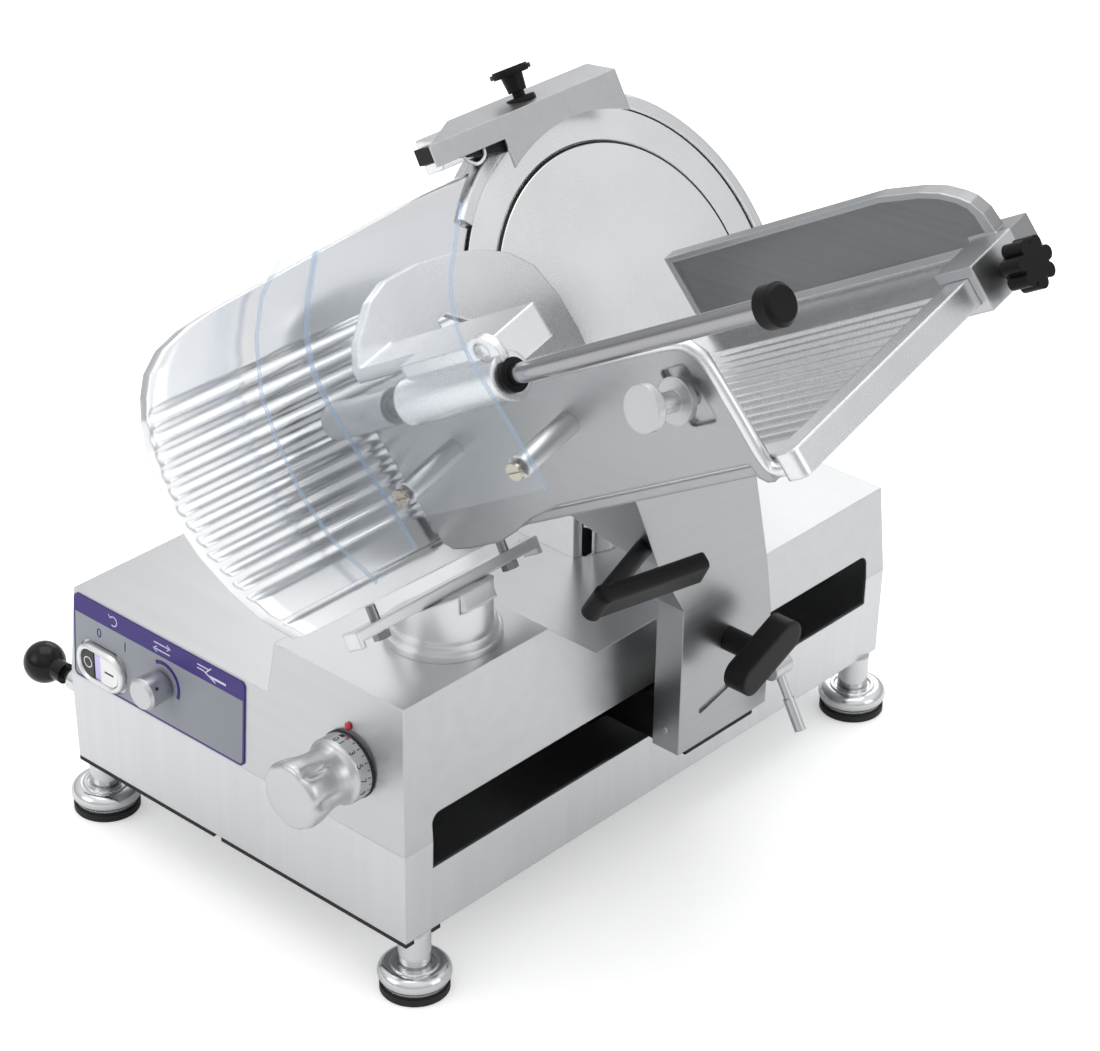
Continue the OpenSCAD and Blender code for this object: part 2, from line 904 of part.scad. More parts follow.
module blade_pulley() color("dimgray") {
  place()
    feed()
      difference() {
        rod_x(pulley_n[0], pulley_n[1], 0, 0, blade_pulley_r);
        rod_x(pulley_n[0] - cut, pulley_n[1] + cut, 0, 0, shaft_r);
        for (i = [0:5])
          rotate([i * 60, 0, 0])
            rod_x(pulley_n[0] - cut, pulley_n[1] + cut, blade_pulley_r * 0.6, 0, blade_pulley_r / 6);
      }
}

module motor_pulley() color("dimgray") {
  place()
    feed() {
      rod_x(pulley_n[0], pulley_n[1], motor_dy, motor_u, motor_pulley_r);
      rod_x(motor_n[1], pulley_n[0] + cut, motor_dy, motor_u, spindle_r);
    }
}

belt_len = norm([motor_dy, motor_u]);
belt_turn = atan2(motor_u, motor_dy);

// A loop round two wheels: the first at the origin, the second a distance away
function arc_points(r, x, a0, a1, steps) =
  [for (i = [0:steps]) [x + r * cos(a0 + (a1 - a0) * i / steps), r * sin(a0 + (a1 - a0) * i / steps)]];

module loop_outline(r0, r1, distance) {
  lean = acos((r0 - r1) / distance);
  polygon(concat(
    arc_points(r0, 0, lean, 360 - lean, loop_steps),
    arc_points(r1, distance, -lean, lean, loop_steps)
  ));
}

loop_steps = 28;

module loop_band(r0, r1, distance, thick)
  difference() {
    loop_outline(r0 + thick, r1 + thick, distance);
    loop_outline(r0, r1, distance);
  }

module drive_belt() color("black") {
  place()
    feed()
      along_x(pulley_n[0] + cut, pulley_n[1] - cut)
        rotate([0, 0, belt_turn])
          loop_band(blade_pulley_r + fit_gap, motor_pulley_r + fit_gap, belt_len, belt_t);
}

module blade_motor() color("slategray") {
  place()
    feed()
      difference() {
        union() {
          rod_x(motor_n[0], motor_n[1], motor_dy, motor_u, motor_r);
          rod_x(motor_n[0] - cast_t, motor_n[0], motor_dy, motor_u, motor_r * 0.7);
        }
        rod_x(motor_n[1] - cast_t, motor_n[1] + cut, motor_dy, motor_u, spindle_r + fit_gap);
      }
}

// Sharpener: folded cover, cast body under it, stones on a pressed carrier
ridge_n = 20;
ridge_u = 181;
cover_back_n = -25;
cover_back_u = 192;
hood_t = 2;
hood_y = [-150.3, 62];
hood_back_y = [-85.3, 78];
lip_u = 163.5;
hood_leg_y = -75.7;
hood_low_u = 138;
hood_arc_r = 159;

module hood_slope(drop)
  along_y(-ring_r, ring_r)
    polygon([
      [ridge_n, ridge_u - drop], [cover_back_n, cover_back_u - drop],
      [cover_back_n, cover_back_u - drop - hood_t], [ridge_n, ridge_u - drop - hood_t]
    ]);

module sharpener_cover() color("silver") {
  place()
    feed() {
      difference() {
        intersection() {
          hood_slope(0);
          along_z(0, 2 * ring_r)
            polygon([
              [ridge_n, hood_y[0]], [ridge_n, hood_y[1]], [cover_back_n, hood_back_y[1]],
              [cover_back_n, hood_back_y[0]]
            ]);
        }
        rod_z(ridge_u - ring_bevel, cover_back_u + cut, press_n, press_y, press_r + fit_gap);
      }
      difference() {
        along_x(ridge_n - hood_t, ridge_n)
          polygon([
            [hood_y[0], lip_u], [hood_leg_y, lip_u], [hood_leg_y, hood_low_u], [hood_y[1], hood_low_u],
            [hood_y[1], ridge_u], [hood_y[0], ridge_u]
          ]);
        rod_x(ridge_n - hood_t - cut, ridge_n + cut, 0, 0, hood_arc_r);
      }
      along_y(hood_y[1] - hood_t, hood_y[1])
        polygon([
          [ridge_n - hood_t / 2, hood_arc_r], [ridge_n - hood_t / 2, hood_mid(ridge_n - hood_t / 2)],
          [0, hood_mid(0)], [0, hood_arc_r + cast_t * 2]
        ]);
    }
}

function hood_mid(n) = ridge_u - hood_t / 2 + hood_fall(n);

press_n = -2;
press_y = -25.3;
press_r = 5;
press_top = 188;
press_stroke = 5;
mushroom_r = 17;

module sharpener_knob() color("black") {
  place()
    feed()
      translate([press_n, press_y, 0]) {
        rod_z(carrier_u, press_top + press_stroke, 0, 0, press_r);
        translate([0, 0, press_top + press_stroke])
          cylinder(mushroom_r * 0.8, press_r * 1.5, press_r * 1.8);
        translate([0, 0, press_top + press_stroke + mushroom_r * 0.8])
          rotate_extrude()
            mushroom_outline();
      }
}

module mushroom_outline() {
  square([mushroom_r * 0.86, mushroom_r * 0.36]);
  translate([0, mushroom_r * 0.06])
    square([mushroom_r, mushroom_r * 0.22]);
}

carrier_u = 172;
carrier_t = 5;
stone_y = [-48.3, -2.3];
stone_r = 12;
burr_r = 8;
stone_t = 8;
stone_n = -21;
burr_n = 9;
stone_pin_r = 2.5;
stone_u = 174;
burr_u = 171.5;

module stone_carrier() color("gray") {
  place()
    feed()
      difference() {
        union() {
          block(press_n - press_r * 2, press_n + press_r * 2, stone_y[0], stone_y[1], carrier_u, carrier_u + carrier_t);
          rod_x(stone_n + stone_t / 2, press_n, stone_y[0], stone_u, stone_pin_r);
          rod_x(press_n, burr_n + stone_t / 2, stone_y[1], burr_u, stone_pin_r);
          block(press_n - press_r * 2, press_n, stone_y[0] - stone_pin_r * 2, stone_y[0] + stone_pin_r * 2,
                stone_u - stone_pin_r * 2, carrier_u + carrier_t);
          block(press_n, press_n + press_r, stone_y[1] - stone_pin_r * 2, stone_y[1] + stone_pin_r * 2,
                burr_u - stone_pin_r, carrier_u + carrier_t);
        }
        rod_z(carrier_u - cut, carrier_u + carrier_t + cut, press_n, press_y, press_r);
      }
}

module grinding_stone() color("tan") {
  place()
    feed()
      difference() {
        rod_x(stone_n, stone_n + stone_t, stone_y[0], stone_u, stone_r);
        rod_x(stone_n + stone_t / 2 - cut, stone_n + stone_t + cut, stone_y[0], stone_u, stone_pin_r + run_gap);
      }
}

module deburring_stone() color("tan") {
  place()
    feed()
      difference() {
        rod_x(burr_n, burr_n + stone_t - cut, stone_y[1], burr_u, burr_r);
        rod_x(burr_n - cut, burr_n + stone_t / 2 + cut, stone_y[1], burr_u, stone_pin_r + run_gap);
      }
}

body_y = [-133.3, -82];
body_n = [-14, 4];
body_u = [152, 182];
clip_r = 9;

module sharpener_body() color("lightgray") {
  place()
    feed() {
      difference() {
        intersection() {
          block(body_n[0], ridge_n - hood_t, body_y[0], body_y[1], body_u[0], cover_back_u);
          along_y(-ring_r, ring_r)
            polygon([
              [body_n[0], body_u[0] + cast_t], [body_n[1], body_u[0] + cast_t], [ridge_n - hood_t, ridge_u - cast_t],
              [ridge_n - hood_t, ridge_u - hood_t + hood_fall(ridge_n - hood_t)],
              [body_n[0], ridge_u - hood_t + hood_fall(body_n[0])]
            ]);
        }
        rod_x(body_n[0] - cut, ridge_n + cut, 0, 0, ring_r + fit_gap);
      }
      rod_x(body_n[0], body_n[1], body_y[0] + clip_r * 2, lip_u + wall, clip_r * 0.6);
      rod_x(-gauge_set - gauge_t, body_n[1], body_y[1] - clip_r, ring_r - clip_r, clip_r * 0.6);
    }
}

function hood_fall(n) = (cover_back_u - ridge_u) * (ridge_n - n) / (ridge_n - cover_back_n);

// Carriage drive inside the tub
shoe_y = [268, 367];
shoe_x = [-168, -52];
shoe_z = [50, 88];
coupling_y = [276, 360];
coupling_z = [61, 102];

module guide_rails() color("silver") {
  place()
    for (x = rail_x)
      rod_y(wall + cut, base_d - wall - cut, x, rail_z, rail_r);
}

module carriage_shoe() color("dimgray") {
  place()
    difference() {
      union() {
        block(shoe_x[0], shoe_x[1], shoe_y[0], shoe_y[1], shoe_z[0], shoe_z[1]);
        block(shoe_x[1] - cut, arm_x - arm_t, coupling_y[0], coupling_y[1], coupling_z[0], coupling_z[1]);
        block(chain_x - chain_w / 2, chain_x + chain_w / 2, shoe_y[0] + cast_t, shoe_y[1] - cast_t, shoe_z[1],
              chain_z - sprocket_r - chain_t - fit_gap);
      }
      for (x = rail_x)
        rod_y(shoe_y[0] - cut, shoe_y[1] + cut, x, rail_z, rail_r + run_gap);
    }
}

chain_x = -110;
chain_z = 116;
chain_y = [58, base_d - 56];
chain_w = 9;
chain_t = 3;
sprocket_r = 20;
drive_shaft_r = 6;

module drive_chain() color("dimgray") {
  place()
    translate([0, chain_y[0], chain_z])
      along_x(chain_x - chain_w / 2, chain_x + chain_w / 2)
        loop_band(sprocket_r + fit_gap, sprocket_r + fit_gap, chain_y[1] - chain_y[0], chain_t);
}

module wheel(y)
  difference() {
    rod_x(chain_x - chain_w / 2, chain_x + chain_w / 2, y, chain_z, sprocket_r);
    rod_x(chain_x - chain_w, chain_x + chain_w, y, chain_z, drive_shaft_r);
    for (i = [0:5])
      translate([0, y, chain_z])
        rotate([i * 60, 0, 0])
          rod_x(chain_x - chain_w, chain_x + chain_w, sprocket_r * 0.62, 0, sprocket_r / 6);
  }

drive_motor_x = [-300, -170];
drive_motor_r = 32;

module drive_sprocket() color("gray") {
  place() {
    wheel(chain_y[1]);
    rod_x(drive_motor_x[1] - cast_t, chain_x + chain_w, chain_y[1], chain_z, drive_shaft_r);
  }
}

module idler_sprocket() color("gray") {
  place() {
    wheel(chain_y[0]);
    rod_x(-block_w + wall * 3, chain_x + chain_w, chain_y[0], chain_z, drive_shaft_r);
  }
}

module carriage_motor() color("slategray") {
  place()
    difference() {
      union() {
        rod_x(drive_motor_x[0], drive_motor_x[1], chain_y[1], chain_z, drive_motor_r);
        block(drive_motor_x[0] + cast_t * 2, drive_motor_x[1] - cast_t * 2, chain_y[1] - drive_motor_r / 2,
              chain_y[1] + drive_motor_r / 2, chain_z, deck_z - wall);
      }
      rod_x(drive_motor_x[1] - cast_t - cut, chain_x, chain_y[1], chain_z, drive_shaft_r + run_gap);
    }
}

gland_x = -300;
gland_z = 42;
gland_r = 12;
gland_bore_r = 4.5;
gland_len = 20;

module gland_hole()
  rod_y(base_d - wall * 2, base_d + wall, gland_x, gland_z, gland_r);

module cable_gland() color("black") {
  place()
    difference() {
      union() {
        rod_y(base_d - gland_len / 2, base_d + gland_len / 2, gland_x, gland_z, gland_r);
        rod_y(base_d + seam_lean, base_d + gland_len / 4, gland_x, gland_z, gland_r * 1.3);
      }
      rod_y(base_d - gland_len, base_d + gland_len, gland_x, gland_z, gland_bore_r);
    }
}

// Arm: folded sheet from the slot up to the table
arm_foot_z = 71;
arm_front = [[259.5, 71], [260.9, 205], [227.7, 260.8], [194.8, 339.2], [150, 445]];
arm_back = [[320, 470], [345, 288], [363, 208], [370.6, 160], [369, 71]];
table_under = -35;
arm_slot = [[286.6, 101.6], [320.4, 110.6]];
arm_slot_r = 3;
wing_axis = [318, 155];
wing_bolt_r = 5;
lever_axis_x = 50;
lever_z = 99;
flange_x = [23, -42];

module below_table()
  carriage()
    block(-reach, reach, -reach, reach, -reach, table_under);

module arm_flange()
  intersection() {
    along_x(flange_x[1], arm_x)
      polygon(concat(arm_front, [for (i = [len(arm_front) - 1:-1:0]) arm_front[i] + [arm_t, 0]]));
    along_y(0, base_d)
      polygon([
        [flange_x[0], arm_foot_z], [arm_x, arm_foot_z], [arm_x, blade_z + ring_r],
        [flange_x[1], blade_z + ring_r], [flange_x[1], flange_low_z], [flange_tab_x, flange_tab_z],
        [flange_x[0], flange_tab_z - arm_t * 3]
      ]);
  }

module carriage_arm() color("silver") {
  place()
    difference() {
      intersection() {
        union() {
          difference() {
            along_x(arm_x - arm_t, arm_x)
              polygon(concat(arm_front, arm_back));
            along_x(arm_x - arm_t - cut, arm_x + cut)
              arm_slot_outline();
          }
          arm_flange();
        }
        below_table();
      }
      rod_x(arm_x - arm_t - cut, arm_x + cut, wing_axis[0], wing_axis[1], wing_bolt_r + run_gap);
    }
}

flange_low_z = 276;
flange_tab_x = 9;
flange_tab_z = 260;

module arm_slot_outline() {
  d = arm_slot[1] - arm_slot[0];
  translate(arm_slot[0])
    rotate([0, 0, atan2(d[1], d[0])]) {
      translate([0, -arm_slot_r])
        square([norm(d), 2 * arm_slot_r]);
      circle(arm_slot_r);
      translate([norm(d), 0])
        circle(arm_slot_r);
    }
}

// Handle: black grip bent from a leg on the arm's flange
handle_leg = [[35, 222, 268], [65, 141, 272]];
handle_end = [90, 230, 275];
grip_h = 30;
grip_t = 14;

module bar_between(a, b, h, t, lean) {
  d = b - a;
  translate(a)
    rotate([0, 0, atan2(d[1], d[0])])
      rotate([lean, -atan2(d[2], norm([d[0], d[1]])), 0])
        along_x(0, norm(d))
          rounded_box(-t / 2, t / 2, -h / 2, h / 2, t / 3);
}

handle_lean = 31;

module carriage_handle() color("black") {
  place() {
    difference() {
      bar_between(handle_leg[0], handle_leg[1], grip_h, grip_t, -handle_lean);
      along_x(-reach, reach)
        polygon(concat(arm_front, [[base_d, arm_front[4][1]], [base_d, arm_foot_z]]));
    }
    bar_between(handle_leg[1], handle_end, grip_h, grip_t, handle_lean);
    translate(handle_leg[1])
      rotate([0, handle_lean, 0])
        cylinder(grip_h - grip_t / 3, grip_t * 0.56, grip_t * 0.56, center = true);
  }
}

wing_len = 75;
wing_h = 26;
wing_t = 20;
wing_x = 75;
wing_turn = 24;

module wing_knob() color("black") {
  place() {
    along_x(wing_x, wing_x + wing_t)
      translate([wing_axis[0], wing_axis[1]])
        rotate([0, 0, wing_turn])
          rounded_box(-wing_len / 2, wing_len / 2, -wing_h / 2, wing_h / 2, wing_h / 2.1);
    rod_x(arm_x + fit_gap, wing_x + cut, wing_axis[0], wing_axis[1], wing_h / 2.6);
    rod_x(arm_x - arm_t * 3, arm_x + cut, wing_axis[0], wing_axis[1], wing_bolt_r);
  }
}

lever_y = [372, 393];
lever_pin_y = 369.8;
lever_hub_r = 9;
lever_len = 57;
lever_tip = [28, -50];

module clamp_lever() color("silver") {
  place() {
    rod_y(lever_y[0], lever_y[1], lever_axis_x, lever_z, lever_hub_r);
    rod_y(lever_pin_y, lever_y[0] + cut, lever_axis_x - arm_t / 2, lever_z, stone_pin_r);
    translate([lever_axis_x, (lever_y[0] + lever_y[1]) / 2, lever_z])
      rotate([0, 90 + atan2(-lever_tip[1], lever_tip[0]), 0]) {
        cylinder(lever_len - lever_hub_r / 2, lever_hub_r * 0.45, lever_hub_r * 0.45);
        translate([0, 0, lever_len / 2])
          cylinder(lever_len / 2, lever_hub_r * 0.55, lever_hub_r * 0.55);
      }
  }
}

// Product table: ribbed floor with a border bar, in the carriage frame (n, w, v)
floor_v = -27;
floor_n0 = 6;
wall_w = -283;
bar_w = [-291, 20];
border_t = 20;
border_v = [-45, -24];
rib_w = [-248, -72];

module product_table() color("silver") {
  place()
    carriage() {
      along_z(table_under, floor_v - floor_rib)
        polygon([
          [floor_n0, wall_w + side_t], [table_n + cut, wall_w + side_t], [table_n + cut, bar_w[1]],
          [floor_n0 + floor_corner, bar_w[1]], [floor_n0, bar_w[1] - floor_corner]
        ]);
      for (i = [0:floor_rib_count - 1])
        floor_rib_bar(rib_w[0] + (rib_w[1] - rib_w[0]) * i / (floor_rib_count - 1), i / (floor_rib_count - 1));
      along_z(border_v[0], border_v[1])
        rounded_box(table_n, table_n + border_t, bar_w[0], bar_w[1], border_t / 3);
    }
}

floor_corner = 60;
rib_end_n = table_n - border_t / 10;

module floor_rib_bar(w, share) {
  half = (rib_w[1] - rib_w[0]) / floor_rib_count * 0.3;
  along_x(floor_n0 + floor_corner * share, rib_end_n)
    polygon([
      [w - half, floor_v - floor_rib - cut / 2], [w + half, floor_v - floor_rib - cut / 2],
      [w + half * 0.6, floor_v], [w - half * 0.6, floor_v]
    ]);
}

// Front wall: cast side of the trough, outline in (n, v)
wall_outline = [
  [5, -40], [12, -47], [30, -49], [66, -49], [90, -43], [110, -36], [149, -30], [346.5, -30], [348, -41], [354, -46],
  [360.7, -46.6], [361, -25], [360, 6], [358.5, 54.3], [347.6, 66.8], [300, 69], [60, 72], [52, 88], [40, 94], [22, 92],
  [8, 78], [5, 60]
];
boss_n_end = 90;
boss_w_r = 14;
window_n = [315, 341];
window_v = [6, 52];
pocket_t = 4;
stand_n = [76, 205];
stand_v = 31;
stand_r = 9;
pull_n = 328;
pull_v = 28;
pull_angle = 22;
pull_pin_r = 5;

module pull_axis()
  translate([pull_n, wall_w, pull_v])
    rotate([90 - pull_angle, 0, 0])
      children();

module front_wall() color("lightgray") {
  place()
    carriage() {
      difference() {
        union() {
          along_y(wall_w, wall_w + side_t)
            polygon(wall_outline);
          rod_x(rod_n0, boss_n_end, rod_w, rod_v, boss_w_r);
          block(rod_n0 + side_t / 2, boss_n_end - side_t, rod_w, wall_w + side_t / 2, rod_v - boss_w_r, rod_v + side_t / 2);
          block(floor_n0, table_n - border_t, wall_w + side_t - cut / 2, wall_w + side_t * 2, table_under - side_t,
                table_under);
        }
        rod_x(rod_n0 - cut, boss_n_end + cut, rod_w, rod_v, rod_r);
        along_y(wall_w - cut, wall_w + pocket_t)
          rounded_box(window_n[0], window_n[1], window_v[0], window_v[1], pocket_t);
        pull_axis()
          cylinder(side_t * 6, pull_pin_r + run_gap, pull_pin_r + run_gap, center = true);
      }
    }
}

pull_disc_r = 17;
pull_len = 46;
disc_t = 7;

module pull_knob() color("silver") {
  place()
    carriage()
      pull_axis() {
        translate([0, 0, -side_t * 1.6])
          cylinder(side_t * 1.6 + pull_len, pull_pin_r, pull_pin_r);
        translate([0, 0, side_t])
          cylinder(disc_t, pull_disc_r * 0.92, pull_disc_r);
        translate([0, 0, side_t])
          cylinder(pull_len - side_t, pull_disc_r * 0.45, pull_disc_r * 0.45);
        translate([0, 0, pull_len - disc_t])
          cylinder(disc_t, pull_disc_r, pull_disc_r);
      }
}

// Fence: plate across the floor with a rim, and a hook round the border bar
fence_w = [-8, 4];
fence_outline = [[75, -26.5], [75, 34.5], [307, 34.5], [345, 29], [363, 24], [376, 17], [384, 10.7], [390, 0], [392.6, -20], [370, -20], [370, -26.5]];
fence_face = [[80, -21], [80, 29.5], [306, 29.5], [343, 24.4], [360, 19.6], [372, 13.4], [379, 7], [382, 0], [383, -14], [366, -14], [366, -21]];
face_t = 2;
hook_w = [-62, 16];
hook_t2 = 7;
hook_top = -16;

module fence() color("silver") {
  place()
    carriage() {
      difference() {
        along_y(fence_w[0], fence_w[1])
          polygon(fence_outline);
        along_y(fence_w[0] - cut, fence_w[0] + face_t)
          polygon(fence_face);
      }
      difference() {
        block(table_n - hook_t2 - fit_gap, table_n + border_t + hook_t2, hook_w[0], hook_w[1],
              border_v[0] - hook_t2 - fit_gap, hook_top);
        block(table_n - fit_gap, table_n + border_t + fit_gap, hook_w[0] - cut, hook_w[1] + cut,
              border_v[0] - fit_gap, border_v[1] + fit_gap);
        block(table_n - hook_t2 - 2 * cut, table_n + cut, hook_w[0] - cut, hook_w[1] + cut,
              border_v[0] - 2 * hook_t2, border_v[1] + fit_gap);
        rod_x(table_n + border_t - cut, reach / 2, star_w, star_v, star_shaft_r + run_gap);
      }
    }
}

star_w = -33;
star_v = -36;
star_shaft_r = 5;
star_n = [418, 436];
star_r = 15.5;
star_lobe_r = 5.6;
star_lobe_count = 7;

module star_knob() color("black") {
  place()
    carriage()
      translate([0, star_w, star_v]) {
        rod_x(table_n + border_t + fit_gap, star_n[1] - cut, 0, 0, star_shaft_r);
        rod_x(star_n[0] - cast_t, star_n[0], 0, 0, star_r * 0.6);
        along_x(star_n[0], star_n[1]) {
          circle(star_r - star_lobe_r / 3);
          for (i = [0:star_lobe_count - 1])
            rotate([0, 0, i * 360 / star_lobe_count])
              translate([star_r - star_lobe_r / 4, 0])
                circle(star_lobe_r);
        }
      }
}

module pusher_rod() color("dimgray") {
  place()
    carriage()
      rod_x(rod_n0, rod_n0 + rod_len, rod_w, rod_v, rod_r);
}

module rod_cap() color("black") {
  place()
    carriage()
      difference() {
        union() {
          rod_x(cap_n - cap_t, cap_n - wall, rod_w, rod_v, cap_r);
          translate([cap_n - wall, rod_w, rod_v])
            rotate([0, 90, 0])
              cylinder(wall, cap_r, cap_r * cap_edge_share);
        }
        rod_x(cap_n - cap_t - cut, rod_n0 + rod_len, rod_w, rod_v, rod_r);
      }
}

// Pusher: hub on the rod, web over the wall and plate in the trough
hub_r = 18;
hub_n = [112, 222];
bush_t = 2.5;
bush_out = 4;
push_n = [44, 53];
push_outline = [
  [-302, 107], [-262, 107], [-262, -22], [-118, -22], [-106, 0], [-101, 30], [-101, 62], [-107, 92], [-122, 112], [-142, 127],
  [-170, 141], [-205, 152], [-240, 157], [-262, 152], [-290, 134], [-302, 118]
];
web_w = [-302, -264];
web_v = [107, 118];
push_window = [[-216, 66], [-176, 66], [-176, 78], [-206, 108], [-216, 108]];
eye_n = 236;
eye_v = 112;
eye_r = 17;
eye_bore_r = 9;

module pusher_bush() color("black") {
  place()
    carriage()
      difference() {
        union() {
          rod_x(hub_n[0] - bush_out, hub_n[1] + bush_out, rod_w, rod_v, rod_r + bush_t);
          rod_x(hub_n[1] + fit_gap, hub_n[1] + bush_out, rod_w, rod_v, rod_r + bush_t * 2);
          rod_x(hub_n[0] - bush_out, hub_n[0] - fit_gap, rod_w, rod_v, rod_r + bush_t * 2);
        }
        rod_x(hub_n[0] - bush_out - cut, hub_n[1] + bush_out + cut, rod_w, rod_v, rod_r + run_gap);
      }
}

module pusher() color("lightgray") {
  place()
    carriage()
      difference() {
        union() {
          rod_x(hub_n[0], hub_n[1], rod_w, rod_v, hub_r);
          block(push_n[0] + cut, hub_n[1] - cast_t, web_w[0], web_w[1], web_v[0], web_v[1]);
          block(hub_n[0] + cast_t, hub_n[1] - cast_t, rod_w, web_w[1], rod_v, web_v[1]);
          along_x(push_n[0], push_n[1])
            difference() {
              polygon(push_outline);
              polygon(push_window);
            }
          along_y(rod_w - cast_t / 2, rod_w + cast_t / 2)
            difference() {
              union() {
                translate([hub_n[1] - eye_r, rod_v])
                  square([eye_r, hub_r]);
                translate([hub_n[1] - eye_r * 0.7, rod_v + hub_r])
                  circle(eye_r);
              }
              translate([hub_n[1] - eye_r * 0.7, rod_v + hub_r + eye_r * 0.3])
                circle(eye_bore_r * 0.8);
            }
        }
        rod_x(hub_n[0] - cut, hub_n[1] + cut, rod_w, rod_v, rod_r + bush_t + run_gap);
        rod_x(hub_n[1], hub_n[1] + eye_r, rod_w, rod_v, rod_r + bush_t * 2 + fit_gap);
      }
}

// Guard: clear sheet in front of the wall, and a wing that closes its left side
guard_w = -346;
guard_n = [55, 222];
guard_low = 12;
bend_v = 115;
bend_r = 85;
bend_angle = 50;
lip_len = 44;

function bent_line(offset, low) =
  let (r = bend_r - offset, end = [guard_w + bend_r - r * cos(bend_angle), bend_v + r * sin(bend_angle)])
    concat(
      [[guard_w + offset, low]],
      [for (i = [0:bend_steps])
        [guard_w + bend_r - r * cos(bend_angle * i / bend_steps), bend_v + r * sin(bend_angle * i / bend_steps)]],
      [end + lip_len * [sin(bend_angle), cos(bend_angle)]]
    );

bend_steps = 14;

function backwards(list) = [for (i = [len(list) - 1:-1:0]) list[i]];

module guard_profile()
  polygon(concat(bent_line(0, guard_low), backwards(bent_line(sheet_t, guard_low))));

module clear_guard() color([0.8, 0.9, 1, 0.3]) {
  place()
    carriage()
      difference() {
        along_x(guard_n[0], guard_n[1])
          guard_profile();
        for (n = stand_n)
          rod_y(guard_w - cut, guard_w + sheet_t + cut, n, stand_v, screw_r + run_gap);
      }
}

// Both edges of the wing, from the bottom up, in (w, v)
wing_inner = [[-346, -12], [-346, 25], [-346, 70], [-346, 110], [-341, 142], [-328, 167], [-312, 186], [-284, 209]];
wing_outer = [[-359.5, -27.4], [-374.5, 23.6], [-376, 64], [-369, 107], [-359.5, 140], [-337, 175], [-313, 197], [-281, 211]];
wing_n = [10, 55];
wing_last = 7;

function edge_normal(p, i) =
  let (d = p[min(i + 1, wing_last)] - p[max(i - 1, 0)])
    [d[1], -d[0]] / norm(d);
function edge_point(p, n, i, t) =
  let (q = p[i] + t * edge_normal(p, i))
    [n, q[0], q[1]];

module guard_wing() color([0.8, 0.9, 1, 0.3]) {
  rows = wing_last + 1;
  points = concat(
    [for (i = [0:wing_last]) edge_point(wing_outer, wing_n[0], i, 0)],
    [for (i = [0:wing_last]) edge_point(wing_inner, wing_n[1], i, 0)],
    [for (i = [0:wing_last]) edge_point(wing_outer, wing_n[0], i, sheet_t)],
    [for (i = [0:wing_last]) edge_point(wing_inner, wing_n[1], i, sheet_t)]
  );
  faces = concat(
    [for (i = [0:wing_last - 1]) [i, i + 1, rows + i + 1]],
    [for (i = [0:wing_last - 1]) [i, rows + i + 1, rows + i]],
    [for (i = [0:wing_last - 1]) [2 * rows + i, 3 * rows + i, 3 * rows + i + 1]],
    [for (i = [0:wing_last - 1]) [2 * rows + i, 3 * rows + i + 1, 2 * rows + i + 1]],
    [for (i = [0:wing_last - 1]) [i, 2 * rows + i, 2 * rows + i + 1]],
    [for (i = [0:wing_last - 1]) [i, 2 * rows + i + 1, i + 1]],
    [for (i = [0:wing_last - 1]) [rows + i, rows + i + 1, 3 * rows + i + 1]],
    [for (i = [0:wing_last - 1]) [rows + i, 3 * rows + i + 1, 3 * rows + i]],
    [[0, rows, 3 * rows], [0, 3 * rows, 2 * rows]],
    [[wing_last, 3 * rows - 1, 4 * rows - 1], [wing_last, 4 * rows - 1, 2 * rows - 1]]
  );
  place()
    carriage()
      polyhedron(points, faces);
}

screw_r = 3;
screw_head_r = 7;
screw_head_t = 3;

module guard_standoffs() color("lightgray") {
  place()
    carriage()
      for (n = stand_n)
        difference() {
          rod_y(guard_w + sheet_t, wall_w, n, stand_v, stand_r);
          rod_y(guard_w, guard_w + sheet_t * 4, n, stand_v, screw_r);
        }
}

module guard_screws() color("goldenrod") {
  place()
    carriage()
      for (n = stand_n)
        difference() {
          union() {
            rod_y(guard_w - screw_head_t, guard_w, n, stand_v, screw_head_r);
            rod_y(guard_w - cut, guard_w + sheet_t * 4, n, stand_v, screw_r);
          }
          block(n - screw_head_r - cut, n + screw_head_r + cut, guard_w - screw_head_t - cut,
                guard_w - screw_head_t / 2, stand_v - screw_r / 4, stand_v + screw_r / 4);
        }
}

lower_housing();
upper_housing();
base_plate();
base_gasket();
feet();
foot_pads();
control_panel();
switch_bezel();
pilot_lamp();
stop_button();
start_button();
selector_knob();
thickness_knob();
dial_cam();
ball_knob();
gauge_turret();
slide_block();
gauge_bar();
gauge_bolts();
gauge_plate();
blade_housing();
guard_ring();
blade();
blade_cover();
blade_shaft();
blade_bearing();
blade_pulley();
motor_pulley();
drive_belt();
blade_motor();
sharpener_cover();
sharpener_knob();
stone_carrier();
sharpener_body();
grinding_stone();
deburring_stone();
guide_rails();
carriage_shoe();
drive_chain();
drive_sprocket();
idler_sprocket();
carriage_motor();
cable_gland();
carriage_arm();
carriage_handle();
wing_knob();
clamp_lever();
product_table();
front_wall();
pull_knob();
fence();
star_knob();
pusher_rod();
rod_cap();
pusher_bush();
pusher();
clear_guard();
guard_wing();
guard_standoffs();
guard_screws();
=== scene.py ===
import math

import bmesh
import bpy
from mathutils import Matrix, Vector


